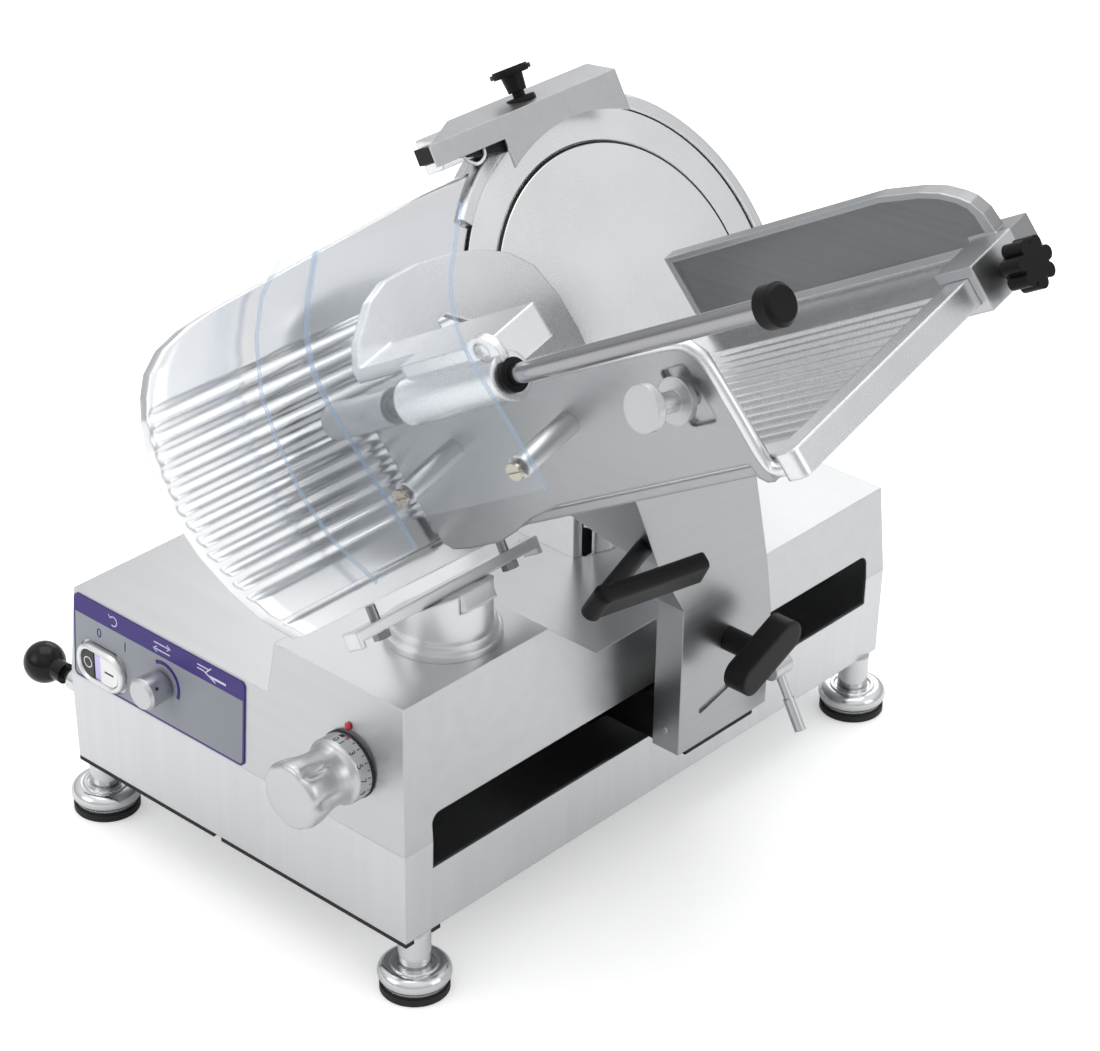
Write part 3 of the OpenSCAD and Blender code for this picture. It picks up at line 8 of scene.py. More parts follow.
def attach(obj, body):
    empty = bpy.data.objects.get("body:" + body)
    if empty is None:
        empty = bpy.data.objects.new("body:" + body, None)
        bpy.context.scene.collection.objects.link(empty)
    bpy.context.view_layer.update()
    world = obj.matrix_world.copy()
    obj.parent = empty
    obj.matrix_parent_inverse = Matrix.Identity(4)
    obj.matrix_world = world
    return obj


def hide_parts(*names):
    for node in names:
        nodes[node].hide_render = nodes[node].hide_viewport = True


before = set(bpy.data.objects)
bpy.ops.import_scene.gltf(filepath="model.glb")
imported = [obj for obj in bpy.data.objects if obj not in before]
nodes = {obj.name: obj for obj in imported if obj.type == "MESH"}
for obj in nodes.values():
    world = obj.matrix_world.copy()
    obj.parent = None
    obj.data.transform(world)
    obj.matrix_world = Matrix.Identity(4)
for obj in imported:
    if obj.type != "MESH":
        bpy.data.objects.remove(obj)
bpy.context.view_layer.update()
scene = bpy.context.scene
print("stage: frame loaded")

# Places are given in the drawing's millimetres, from the tub's front right bottom corner
tubCorner = Vector((0.06972, -0.24565, 0.054))
bladeCentre = Vector((-107.9, 368.3, 375.7))
feedTilt = math.radians(30)
tableTurn = math.radians(12)


def at(x, y, z):
    return tubCorner + Vector((x, y, z)) / 1000


# From the blade's centre: n runs out of the blade's plane, y towards the back and u up the plane
def feedAt(n, y, u):
    x = bladeCentre.x + n * math.cos(feedTilt) - u * math.sin(feedTilt)
    z = bladeCentre.z + n * math.sin(feedTilt) + u * math.cos(feedTilt)
    return at(x, bladeCentre.y + y, z)


# The same, with y and u turned by the table's own tilt into w and v
def tableAt(n, w, v):
    y = w * math.cos(tableTurn) - v * math.sin(tableTurn)
    u = w * math.sin(tableTurn) + v * math.cos(tableTurn)
    return feedAt(n, y, u)


# Camera, solved from the photograph's edges, in metres in the frame of the row
cameraSet = {
    "azimuth": 42.1,
    "elevation": 30.0,
    "roll": 0.7,
    "place": (1.55315, -1.72824, 1.63691),
    "focalPixels": 3391.1,
    "imageWidth": 1100,
    "sensor": 36.0,
}


def makeCamera(c):
    azimuth = math.radians(c["azimuth"])
    elevation = math.radians(c["elevation"])
    roll = math.radians(c["roll"])
    back = Vector((
        math.sin(azimuth) * math.cos(elevation),
        -math.cos(azimuth) * math.cos(elevation),
        math.sin(elevation),
    ))
    level = Vector((math.cos(azimuth), math.sin(azimuth), 0))
    rise = back.cross(level)
    right = math.cos(roll) * level + math.sin(roll) * rise
    up = -math.sin(roll) * level + math.cos(roll) * rise
    data = bpy.data.cameras.new("camera")
    data.sensor_width = c["sensor"]
    data.sensor_fit = "HORIZONTAL"
    data.lens = c["focalPixels"] * c["sensor"] / c["imageWidth"]
    data.clip_end = 20
    camera = bpy.data.objects.new("camera", data)
    camera.matrix_world = Matrix((
        (right.x, up.x, back.x, c["place"][0]),
        (right.y, up.y, back.y, c["place"][1]),
        (right.z, up.z, back.z, c["place"][2]),
        (0, 0, 0, 1),
    ))
    scene.collection.objects.link(camera)
    scene.camera = camera


# Studio: soft lights, a pale floor and a world that is white to the camera
lights = {
    "topSoft": {"place": (-0.4, 0.3, 2.6), "aim": (0, 0, 0.3), "size": (2.4, 2.0), "power": 21},
    "frontSoft": {"place": (-1.2, -2.4, 1.5), "aim": (0, 0, 0.3), "size": (1.6, 1.4), "power": 9},
    "rightSoft": {"place": (2.7, 0.8, 1.4), "aim": (0, 0, 0.35), "size": (1.4, 1.4), "power": 8},
    "backSoft": {"place": (-1.6, 2.2, 1.6), "aim": (0, 0, 0.3), "size": (1.6, 1.2), "power": 7},
}
floorSet = {
    "half": 6,
    "drop": 0.0005,
    "glow": 0.32,
}


def aimedLight(name, settings):
    place = Vector(settings["place"])
    data = bpy.data.lights.new(name, "AREA")
    data.shape = "RECTANGLE"
    data.size = settings["size"][0]
    data.size_y = settings["size"][1]
    data.energy = settings["power"]
    light = bpy.data.objects.new(name, data)
    light.location = place
    light.rotation_euler = (Vector(settings["aim"]) - place).to_track_quat("-Z", "Y").to_euler()
    scene.collection.objects.link(light)


def makeFloor():
    size = floorSet["half"]
    mesh = bpy.data.meshes.new("floor")
    mesh.from_pydata(
        [(-size, -size, 0), (size, -size, 0), (size, size, 0), (-size, size, 0)], [], [(0, 1, 2, 3)]
    )
    floor = bpy.data.objects.new("floor", mesh)
    floor.location.z = -floorSet["drop"]
    scene.collection.objects.link(floor)
    material = bpy.data.materials.new("pale_floor")
    material.use_nodes = True
    shader = material.node_tree.nodes["Principled BSDF"]
    shader.inputs["Base Color"].default_value = (0.93, 0.93, 0.93, 1)
    shader.inputs["Roughness"].default_value = 0.9
    shader.inputs["Specular IOR Level"].default_value = 0.1
    shader.inputs["Emission Color"].default_value = (1, 1, 1, 1)
    rays = material.node_tree.nodes.new("ShaderNodeLightPath")
    gain = material.node_tree.nodes.new("ShaderNodeMath")
    gain.operation = "MULTIPLY"
    gain.inputs[1].default_value = floorSet["glow"]
    material.node_tree.links.new(rays.outputs["Is Camera Ray"], gain.inputs[0])
    material.node_tree.links.new(gain.outputs[0], shader.inputs["Emission Strength"])
    mesh.materials.append(material)


def makeWorld():
    world = bpy.data.worlds.new("studio")
    scene.world = world
    world.use_nodes = True
    tree = world.node_tree
    tree.nodes.clear()
    out = tree.nodes.new("ShaderNodeOutputWorld")
    rays = tree.nodes.new("ShaderNodeLightPath")
    place = tree.nodes.new("ShaderNodeTexCoord")
    parts = tree.nodes.new("ShaderNodeSeparateXYZ")
    ramp = tree.nodes.new("ShaderNodeValToRGB")
    room = tree.nodes.new("ShaderNodeBackground")
    white = tree.nodes.new("ShaderNodeBackground")
    pick = tree.nodes.new("ShaderNodeMixShader")
    tree.links.new(place.outputs["Generated"], parts.inputs["Vector"])
    tree.links.new(parts.outputs["Z"], ramp.inputs["Fac"])
    ramp.color_ramp.elements[0].position = 0.0
    ramp.color_ramp.elements[0].color = (0.42, 0.43, 0.45, 1)
    ramp.color_ramp.elements[1].position = 0.75
    ramp.color_ramp.elements[1].color = (1.0, 1.0, 1.0, 1)
    tree.links.new(ramp.outputs["Color"], room.inputs["Color"])
    room.inputs["Strength"].default_value = 1.0
    white.inputs["Color"].default_value = (1, 1, 1, 1)
    white.inputs["Strength"].default_value = 1.05
    tree.links.new(rays.outputs["Is Camera Ray"], pick.inputs["Fac"])
    tree.links.new(room.outputs["Background"], pick.inputs[1])
    tree.links.new(white.outputs["Background"], pick.inputs[2])
    tree.links.new(pick.outputs["Shader"], out.inputs["Surface"])


makeCamera(cameraSet)
makeFloor()
makeWorld()
for lightName, settings in lights.items():
    aimedLight(lightName, settings)
scene.view_settings.view_transform = "Standard"
print("stage: studio made")


# Materials: one small class, so that shader maths reads as plain sums
class Value:
    def __init__(self, make, socket):
        self.make = make
        self.socket = socket

    def maths(self, operation, other):
        node = self.make.tree.nodes.new("ShaderNodeMath")
        node.operation = operation
        self.make.feed(node.inputs[0], self)
        self.make.feed(node.inputs[1], other)
        return Value(self.make, node.outputs[0])

    def __add__(self, other):
        return self.maths("ADD", other)

    def __sub__(self, other):
        return self.maths("SUBTRACT", other)

    def __mul__(self, other):
        return self.maths("MULTIPLY", other)

    def power(self, other):
        return self.maths("POWER", other)

    def above(self, other):
        return self.maths("GREATER_THAN", other)

    def below(self, other):
        return self.maths("LESS_THAN", other)

    def most(self, other):
        return self.maths("MAXIMUM", other)

    def size(self):
        return self.maths("ABSOLUTE", 0)

    def clamped(self):
        node = self.make.tree.nodes.new("ShaderNodeClamp")
        self.make.feed(node.inputs["Value"], self)
        return Value(self.make, node.outputs[0])

    def ranged(self, low, high, toLow=0.0, toHigh=1.0):
        node = self.make.tree.nodes.new("ShaderNodeMapRange")
        self.make.feed(node.inputs["Value"], self)
        node.inputs["From Min"].default_value = low
        node.inputs["From Max"].default_value = high
        node.inputs["To Min"].default_value = toLow
        node.inputs["To Max"].default_value = toHigh
        return Value(self.make, node.outputs[0])


shaderInputs = {
    "colour": "Base Color",
    "roughness": "Roughness",
    "metallic": "Metallic",
    "coat": "Coat Weight",
    "specular": "Specular IOR Level",
    "normal": "Normal",
}


class Maker:
    def __init__(self, name):
        self.material = bpy.data.materials.new(name)
        self.material.use_nodes = True
        self.tree = self.material.node_tree
        self.shader = self.tree.nodes["Principled BSDF"]
        self.coordinates = self.tree.nodes.new("ShaderNodeTexCoord")

    def feed(self, socket, item):
        if isinstance(item, Value):
            self.tree.links.new(item.socket, socket)
        elif item is not None:
            socket.default_value = item

    def set(self, **values):
        for name, item in values.items():
            self.feed(self.shader.inputs[shaderInputs[name]], item)

    def place(self, scale=(1, 1, 1), turn=(0, 0, 0)):
        node = self.tree.nodes.new("ShaderNodeMapping")
        self.tree.links.new(self.coordinates.outputs["Object"], node.inputs["Vector"])
        node.inputs["Scale"].default_value = scale
        node.inputs["Rotation"].default_value = tuple(math.radians(a) for a in turn)
        return Value(self, node.outputs["Vector"])

    def axes(self):
        node = self.tree.nodes.new("ShaderNodeSeparateXYZ")
        self.tree.links.new(self.coordinates.outputs["Object"], node.inputs["Vector"])
        return [Value(self, node.outputs[axis]) for axis in "XYZ"]

    def noise(self, vector, scale, detail=2.0, rough=0.5):
        node = self.tree.nodes.new("ShaderNodeTexNoise")
        self.feed(node.inputs["Vector"], vector)
        node.inputs["Scale"].default_value = scale
        node.inputs["Detail"].default_value = detail
        node.inputs["Roughness"].default_value = rough
        return Value(self, node.outputs["Fac"])

    def mix(self, factor, first, second):
        node = self.tree.nodes.new("ShaderNodeMix")
        node.data_type = "RGBA"
        self.feed(node.inputs["Factor"], factor)
        for socket, item in ((node.inputs[6], first), (node.inputs[7], second)):
            if isinstance(item, tuple):
                item = (*item, 1)
            self.feed(socket, item)
        return Value(self, node.outputs[2])

    def bump(self, height, strength, distance, under=None):
        node = self.tree.nodes.new("ShaderNodeBump")
        node.inputs["Strength"].default_value = strength
        node.inputs["Distance"].default_value = distance
        self.feed(node.inputs["Height"], height)
        if under:
            self.feed(node.inputs["Normal"], under)
        return Value(self, node.outputs["Normal"])

    def softEdge(self, radius):
        node = self.tree.nodes.new("ShaderNodeBevel")
        node.samples = 4
        node.inputs["Radius"].default_value = radius
        return Value(self, node.outputs["Normal"])


brushDepth = 0.00004


def brushedMetal(name, colour, roughness, turn=(0, 0, 0), streak=(2, 2, 260), edge=0.0012):
    m = Maker(name)
    along = m.place(scale=streak, turn=turn)
    streaks = m.noise(along, 1.0, 3.0, 0.6)
    cloud = m.noise(m.place(scale=(7, 7, 7)), 1.0, 3.0)
    dark = tuple(c * 0.95 for c in colour)
    m.set(
        colour=m.mix(streaks.ranged(0.3, 0.7), dark, colour),
        metallic=1.0,
        roughness=(streaks * 0.08 + cloud * 0.14 + (roughness - 0.11)).clamped(),
        normal=m.bump(streaks, 0.2, brushDepth, m.softEdge(edge)),
    )
    return m.material


def castMetal(name, colour, roughness, edge=0.003, grain=900):
    m = Maker(name)
    cloud = m.noise(m.place(scale=(9, 9, 9)), 1.0, 4.0)
    grit = m.noise(m.place(), grain, 2.0)
    m.set(
        colour=m.mix(cloud.ranged(0.3, 0.75), tuple(c * 0.94 for c in colour), colour),
        metallic=1.0,
        roughness=(cloud * 0.16 + grit * 0.08 + (roughness - 0.12)).clamped(),
        normal=m.bump(grit, 0.03, 0.0002, m.softEdge(edge)),
    )
    return m.material


def plastic(name, colour, roughness, coat=0.0, grain=1600, edge=0.0012, depth=0.00012, specular=0.3):
    m = Maker(name)
    grit = m.noise(m.place(), grain, 2.0)
    cloud = m.noise(m.place(scale=(14, 14, 14)), 1.0, 3.0)
    m.set(
        colour=m.mix(cloud.ranged(0.3, 0.8), colour, tuple(min(1, c * 1.25 + 0.004) for c in colour)),
        roughness=(grit * 0.1 + cloud * 0.08 + (roughness - 0.09)).clamped(),
        specular=specular,
        coat=coat,
        normal=m.bump(grit, 0.25, depth, m.softEdge(edge)),
    )
    return m.material


def clearSheet(name, bent):
    m = Maker(name)
    facing = m.tree.nodes.new("ShaderNodeLayerWeight")
    facing.inputs["Blend"].default_value = 0.3
    see = m.tree.nodes.new("ShaderNodeBsdfTransparent")
    see.inputs["Color"].default_value = (0.985, 0.99, 0.996, 1)
    edgeNode = m.tree.nodes.new("ShaderNodeVectorMath")
    edgeNode.operation = "DOT_PRODUCT"
    m.tree.links.new(m.coordinates.outputs["Normal"], edgeNode.inputs[0])
    edgeNode.inputs[1].default_value = (math.cos(feedTilt), 0, math.sin(feedTilt))
    edge = Value(m, edgeNode.outputs["Value"]).size().above(0.9 if bent else 0.93)
    cloud = m.noise(m.place(scale=(5, 5, 5)), 1.0, 2.0)
    m.set(
        colour=m.mix(edge, (0.8, 0.86, 0.93), (0.42, 0.55, 0.74)),
        roughness=cloud * 0.06 + 0.05,
        specular=0.7,
    )
    mixer = m.tree.nodes.new("ShaderNodeMixShader")
    share = Value(m, facing.outputs["Facing"]) * 0.14 + 0.02 + edge * 0.42
    m.feed(mixer.inputs["Fac"], share.clamped())
    m.tree.links.new(see.outputs["BSDF"], mixer.inputs[1])
    m.tree.links.new(m.shader.outputs["BSDF"], mixer.inputs[2])
    out = m.tree.nodes["Material Output"]
    m.tree.links.new(mixer.outputs["Shader"], out.inputs["Surface"])
    return m.material


looks = {
    "housing": brushedMetal("housing_steel", (0.7, 0.71, 0.725), 0.4, streak=(90, 90, 2)),
    "deck": brushedMetal("deck_steel", (0.6, 0.61, 0.62), 0.36, streak=(3, 70, 70)),
    "plate": brushedMetal("plate_steel", (0.6, 0.61, 0.62), 0.45),
    "foot": castMetal("foot_polished", (0.72, 0.73, 0.74), 0.16, 0.002),
    "bezel": castMetal("bezel_satin", (0.8, 0.8, 0.8), 0.3, 0.001),
    "knob": castMetal("knob_satin", (0.6, 0.61, 0.62), 0.34, 0.0012, 1800),
    "cast": castMetal("cast_bright", (0.86, 0.87, 0.88), 0.27, 0.003, 1500),
    "castSatin": castMetal("cast_satin", (0.76, 0.77, 0.78), 0.36, 0.003),
    "gauge": castMetal("gauge_polished", (0.93, 0.94, 0.95), 0.22, 0.002),
    "blade": castMetal("blade_polished", (0.96, 0.965, 0.97), 0.27, 0.0004, 2500),
    "machined": brushedMetal("machined_steel", (0.5, 0.51, 0.52), 0.35),
    "bolt": castMetal("bolt_steel", (0.26, 0.26, 0.27), 0.3, 0.0006),
    "motor": castMetal("motor_paint", (0.12, 0.13, 0.14), 0.5, 0.001),
    "arm": brushedMetal("arm_steel", (0.43, 0.44, 0.45), 0.34, streak=(2, 2, 200)),
    "hood": brushedMetal("hood_steel", (0.58, 0.59, 0.6), 0.34, streak=(2, 120, 120)),
    "wall": brushedMetal("wall_steel", (0.45, 0.46, 0.47), 0.36, (0, 30, 0), (2, 2, 160), 0.003),
    "rod": castMetal("rod_steel", (0.4, 0.4, 0.41), 0.16, 0.0005),
    "brass": castMetal("screw_brass", (0.56, 0.52, 0.45), 0.28, 0.0006),
    "seal": plastic("black_seal", (0.012, 0.012, 0.012), 0.6),
    "rubber": plastic("foot_rubber", (0.015, 0.015, 0.015), 0.55),
    "belt": plastic("belt_rubber", (0.02, 0.02, 0.02), 0.7),
    "black": plastic("black_plastic", (0.006, 0.006, 0.0065), 0.38, specular=0.14),
    "handle": plastic("handle_black", (0.006, 0.006, 0.0065), 0.36, edge=0.005, specular=0.16),
    "ball": plastic("ball_black", (0.004, 0.004, 0.004), 0.14, depth=0.00001, specular=0.25),
    "buttonBlack": plastic("button_black", (0.01, 0.01, 0.01), 0.2, 0.3, depth=0.00001),
    "buttonWhite": plastic("button_white", (0.8, 0.8, 0.8), 0.2, 0.3, depth=0.00001),
    "lamp": plastic("lamp_lilac", (0.55, 0.5, 0.8), 0.15, 0.5, depth=0.00001),
    "stone": plastic("stone_grit", (0.3, 0.26, 0.2), 0.85, depth=0.001),
    "clear": clearSheet("clear_sheet", True),
    "clearWing": clearSheet("clear_wing", False),
}


def fenceMetal(name, face, rim, front):
    m = Maker(name)
    x, y, z = m.axes()
    across = x * front["way"].x + y * front["way"].y + z * front["way"].z
    streaks = m.noise(m.place(scale=(2, 2, 220), turn=(0, 30, 0)), 1.0, 3.0, 0.6)
    grit = m.noise(m.place(), 900, 2.0)
    # Painted light: the rim takes the bright colour as a painted highlight, the face takes the dark colour
    # as painted shade
    litRimMask = across.below(front["limit"])
    m.set(
        colour=m.mix(litRimMask, m.mix(streaks.ranged(0.3, 0.7), tuple(c * 0.9 for c in face), face), rim),
        metallic=1.0,
        roughness=(streaks * 0.08 + grit * 0.06 + litRimMask * -0.1 + 0.36).clamped(),
        normal=m.bump(streaks, 0.2, brushDepth, m.softEdge(0.002)),
    )
    return m.material


nodeLooks = {
    "lower_housing": "housing",
    "upper_housing": "deck",
    "base_plate": "plate",
    "base_gasket": "seal",
    "feet": "foot",
    "foot_pads": "rubber",
    "switch_bezel": "bezel",
    "pilot_lamp": "lamp",
    "stop_button": "buttonBlack",
    "start_button": "buttonWhite",
    "selector_knob": "knob",
    "thickness_knob": "knob",
    "dial_cam": "machined",
    "ball_knob": "ball",
    "gauge_turret": "castSatin",
    "slide_block": "castSatin",
    "gauge_bar": "castSatin",
    "gauge_bolts": "bolt",
    "gauge_plate": "gauge",
    "blade_housing": "cast",
    "guard_ring": "cast",
    "blade": "blade",
    "blade_cover": "blade",
    "blade_shaft": "machined",
    "blade_bearing": "machined",
    "blade_pulley": "machined",
    "motor_pulley": "machined",
    "drive_belt": "belt",
    "blade_motor": "motor",
    "sharpener_cover": "hood",
    "sharpener_knob": "black",
    "stone_carrier": "machined",
    "sharpener_body": "cast",
    "grinding_stone": "stone",
    "deburring_stone": "stone",
    "guide_rails": "rod",
    "carriage_shoe": "black",
    "drive_chain": "machined",
    "drive_sprocket": "machined",
    "idler_sprocket": "machined",
    "carriage_motor": "motor",
    "cable_gland": "black",
    "carriage_arm": "arm",
    "carriage_handle": "handle",
    "wing_knob": "handle",
    "clamp_lever": "knob",
    "product_table": "cast",
    "front_wall": "wall",
    "pull_knob": "knob",
    "fence": "fence",
    "star_knob": "black",
    "pusher_rod": "rod",
    "rod_cap": "black",
    "pusher_bush": "black",
    "pusher": "cast",
    "clear_guard": "clear",
    "guard_wing": "clearWing",
    "guard_standoffs": "castSatin",
    "guard_screws": "brass",
}

# The fence's rim is painted brighter as a painted highlight and its face painted darker as painted shade,
# on one steel: a plane across the table parts the two
fencePlane = {
    "way": tableAt(0, 1000, 0) - tableAt(0, 0, 0),
    "behindBlade": 0.0072,
}
fencePlane["limit"] = fencePlane["way"].dot(at(*bladeCentre)) - fencePlane["behindBlade"]
# Face colour is painted shade, rim colour is a painted highlight
looks["fence"] = fenceMetal("fence_steel", (0.36, 0.365, 0.37), (0.66, 0.67, 0.68), fencePlane)
for nodeName, lookName in nodeLooks.items():
    thing = nodes[nodeName]
    thing.data.materials.clear()
    thing.data.materials.append(looks[lookName])
print("stage: materials set")

def addPiece(name, points, faces, look, body, smooth=False):
    mesh = bpy.data.meshes.new(name)
    mesh.from_pydata([tuple(p) for p in points], [], faces)
    mesh.update()
    work = bmesh.new()
    work.from_mesh(mesh)
    bmesh.ops.recalc_face_normals(work, faces=work.faces)
    work.to_mesh(mesh)
    work.free()
    if smooth:
        mesh.polygons.foreach_set("use_smooth", [True] * len(mesh.polygons))
    mesh.materials.append(look)
    piece = bpy.data.objects.new(name, mesh)
    scene.collection.objects.link(piece)
    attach(piece, body)
    return piece


def angleSmooth(piece, degrees):
    work = bmesh.new()
    work.from_mesh(piece.data)
    for face in work.faces:
        face.smooth = True
    for edge in work.edges:
        if len(edge.link_faces) == 2 and edge.calc_face_angle(0) > math.radians(degrees):
            edge.smooth = False
    work.to_mesh(piece.data)
    work.free()


def strokeOutline(line, width):
    half = width / 2
    left = []
    right = []
    for i, p in enumerate(line):
        before = Vector(line[max(i - 1, 0)])
        after = Vector(line[min(i + 1, len(line) - 1)])
        along = (after - before).normalized()
        side = Vector((-along.y, along.x)) * half
        left.append(Vector(p) + side)
        right.append(Vector(p) - side)
    return left + right[::-1]


def arcLine(centre, radius, start, end, steps=14):
    angles = [math.radians(start + (end - start) * i / steps) for i in range(steps + 1)]
    return [(centre[0] + radius * math.cos(a), centre[1] + radius * math.sin(a)) for a in angles]


def inkPiece(name, outlines, place, thick, look, body):
    points = []
    faces = []
    for outline in outlines:
        start = len(points)
        count = len(outline)
        points += [place(p[0], p[1], 0) for p in outline]
        points += [place(p[0], p[1], thick) for p in outline]
        half = count // 2
        for i in range(half - 1):
            quad = [i, i + 1, count - 2 - i, count - 1 - i]
            faces.append([start + k for k in quad])
            faces.append([start + count + k for k in reversed(quad)])
        for i in range(count):
            j = (i + 1) % count
            faces.append([start + i, start + j, start + count + j, start + count + i])
    return addPiece(name, points, faces, look, body)


def wordPiece(name, words, place, thick, look, body):
    points = []
    faces = []
    for text, height, move in words:
        curve = bpy.data.curves.new("word", "FONT")
        curve.body = text
        curve.size = height / 0.7
        curve.align_x = "CENTER"
        curve.resolution_u = 3
        holder = bpy.data.objects.new("word", curve)
        scene.collection.objects.link(holder)
        flat = bpy.data.meshes.new_from_object(holder.evaluated_get(bpy.context.evaluated_depsgraph_get()))
        work = bmesh.new()
        work.from_mesh(flat)
        bmesh.ops.remove_doubles(work, verts=work.verts, dist=0.0001)
        edges = [e for e in work.edges if len(e.link_faces) == 1]
        work.verts.ensure_lookup_table()
        start = len(points)
        count = len(work.verts)
        for layer in (0, thick):
            points += [place(v.co.x + move[0], v.co.y + move[1], layer) for v in work.verts]
        for face in work.faces:
            ring = [v.index for v in face.verts]
            faces.append([start + k for k in ring])
            faces.append([start + count + k for k in reversed(ring)])
        for e in edges:
            a, b = e.verts[0].index, e.verts[1].index
            faces.append([start + a, start + b, start + count + b, start + count + a])
        work.free()
        bpy.data.objects.remove(holder)
        bpy.data.meshes.remove(flat)
        bpy.data.curves.remove(curve)
    return addPiece(name, points, faces, look, body)


# Control panel: printed field and band, symbols, 0 and I
printLift = 0.02
panel = {
    "x": (-377, -175),
    "z": (84, 160),
    "corner": 5.0,
    "border": 1.9,
    "band": 16.5,
    "field": (0.245, 0.262, 0.29),
    "ink": (0.033, 0.016, 0.17),
    "print": (0.62, 0.6, 0.78),
    "skin": 1.2,
    "knob": (-269, 120),
    "low": {"z": 82, "y": -1.4},
    "high": {"z": 163, "y": 3.3},
}


def panelMaterial(p):
    m = Maker("panel_print")
    x, y, z = m.axes()
    low = at(p["x"][0], 0, p["z"][0])
    high = at(p["x"][1], 0, p["z"][1])
    centre = (low + high) / 2
    half = (high - low) / 2
    edge = p["border"] / 1000
    bend = p["corner"] / 1000 * 0.7
    acrossX = ((x - centre.x).size() - (half.x - edge - bend)).most(0)
    acrossZ = ((z - centre.z).size() - (half.z - edge - bend)).most(0)
    outside = (acrossX * acrossX + acrossZ * acrossZ).power(0.5).above(bend)
    band = z.above(high.z - p["band"] / 1000)
    speck = m.noise(m.place(), 2200, 2)
    slope = (x - low.x) * (1 / (high.x - low.x))
    pale = tuple(min(1, c * 1.25) for c in p["field"])
    field = m.mix((slope * 0.8 + speck * 0.2).clamped(), pale, p["field"])
    ink = m.mix(speck.ranged(0.2, 0.8), p["ink"], tuple(c * 1.15 for c in p["ink"]))
    m.set(
        colour=m.mix(outside.most(band), field, ink),
        roughness=speck * 0.12 + 0.3,
        specular=0.4,
        normal=m.bump(speck, 0.08, 0.00005),
    )
    return m.material


# Prints lie on the panel's face, which leans back between its low and high edge
def panelPlace(p):
    low = p["low"]
    high = p["high"]

    def place(x, z, out):
        y = low["y"] + (high["y"] - low["y"]) * (z - low["z"]) / (high["z"] - low["z"])
        return at(x, y - p["skin"] - printLift - out, z)
    return place


nodes["control_panel"].data.materials.clear()
nodes["control_panel"].data.materials.append(panelMaterial(panel))
whiteInk = plastic("symbol_ink", panel["print"], 0.4, depth=0.00001)
blueInk = plastic("figure_ink", panel["ink"], 0.4, depth=0.00001)
blackInk = plastic("dial_ink", (0.012, 0.012, 0.012), 0.5, depth=0.00001)

# Each stroke: its line across and up the panel, and its width
symbols = [
    strokeOutline(arcLine((-328.5, 151.8), 4.2, 150, -120), 1.1),
    strokeOutline([(-334.4, 156.6), (-332.2, 153.6), (-329.4, 155.8)], 1.0),
    strokeOutline([(-280, 154.2), (-261, 154.2)], 1.2),
    strokeOutline([(-264.6, 151.6), (-260.4, 154.2), (-264.6, 156.8)], 1.0),
    strokeOutline([(-280, 148.6), (-261, 148.6)], 1.2),
    strokeOutline([(-276.4, 151.2), (-280.6, 148.6), (-276.4, 146.0)], 1.0),
    strokeOutline([(-229, 155.2), (-216, 155.2)], 1.2),
    strokeOutline([(-229, 152.0), (-222, 152.0), (-208, 146.4)], 1.2),
    strokeOutline([(-213, 157.2), (-219, 151.6)], 1.2),
    strokeOutline([(-216, 149.6), (-196, 149.6)], 2.0),
]
inkPiece("panel_symbols", symbols, panelPlace(panel), 0.12, whiteInk, "base")
knobArc = strokeOutline(arcLine(panel["knob"], 18.5, 118, -22, 26), 3.4)
inkPiece("selector_mark", [knobArc], panelPlace(panel), 0.1, blueInk, "base")
switchWords = [("0", 8.4, (-346, 130)), ("I", 8.4, (-314.5, 130))]
wordPiece("switch_figures", switchWords, panelPlace(panel), 0.12, blueInk, "base")

# Thickness dial: ticks and figures round the ring
dial = {
    "x": -60,
    "z": 139,
    "ring": 27.44,
    "lift": 0.03,
    "first": 93,
    "step": 12.6,
    "near": -1.8,
    "tick": {"start": 0.2, "wide": 1.4, "odd": 3.4, "even": 2.6, "steps": 24},
    "zero": {"reach": 4.5, "end": 3.6},
    "figure": 5.6,
    "figureStart": 5.2,
    "figures": (0, 1, 3, 5, 7, 9, 11, 13, 15, 17, 19, 21, 23),
}


def dialPlace(d):
    def place(along, out, lift):
        angle = math.radians(d["first"] - along)
        radius = d["ring"] + d["lift"] + lift
        return at(d["x"] + radius * math.cos(angle), d["near"] - out, d["z"] + radius * math.sin(angle))
    return place


def dialTicks(d):
    tick = d["tick"]
    start = tick["start"]
    reach = d["zero"]["reach"]
    end = d["zero"]["end"]
    outlines = [[(-reach, start), (0, start), (reach, start), (reach, end), (0, end), (-reach, end)]]
    for i in range(1, tick["steps"] + 1):
        length = tick["odd"] if i % 2 else tick["even"]
        left = d["step"] * i - tick["wide"] / 2
        right = d["step"] * i + tick["wide"] / 2
        outlines.append([(left, start), (right, start), (right, length), (left, length)])
    return outlines


inkPiece("dial_ticks", dialTicks(dial), dialPlace(dial), 0.08, blackInk, "dial")


def figurePlace(d):
    spread = math.degrees(1 / d["ring"])
    ring = dialPlace(d)

    def place(x, y, lift):
        return ring(x * spread, d["figureStart"] + d["figure"] - y, lift)
    return place


figures = []
for value in dial["figures"]:
    along = math.radians(dial["step"] * value) * dial["ring"]
    figures.append((str(value), dial["figure"], (along, 0)))
wordPiece("dial_figures", figures, figurePlace(dial), 0.08, blackInk, "dial")


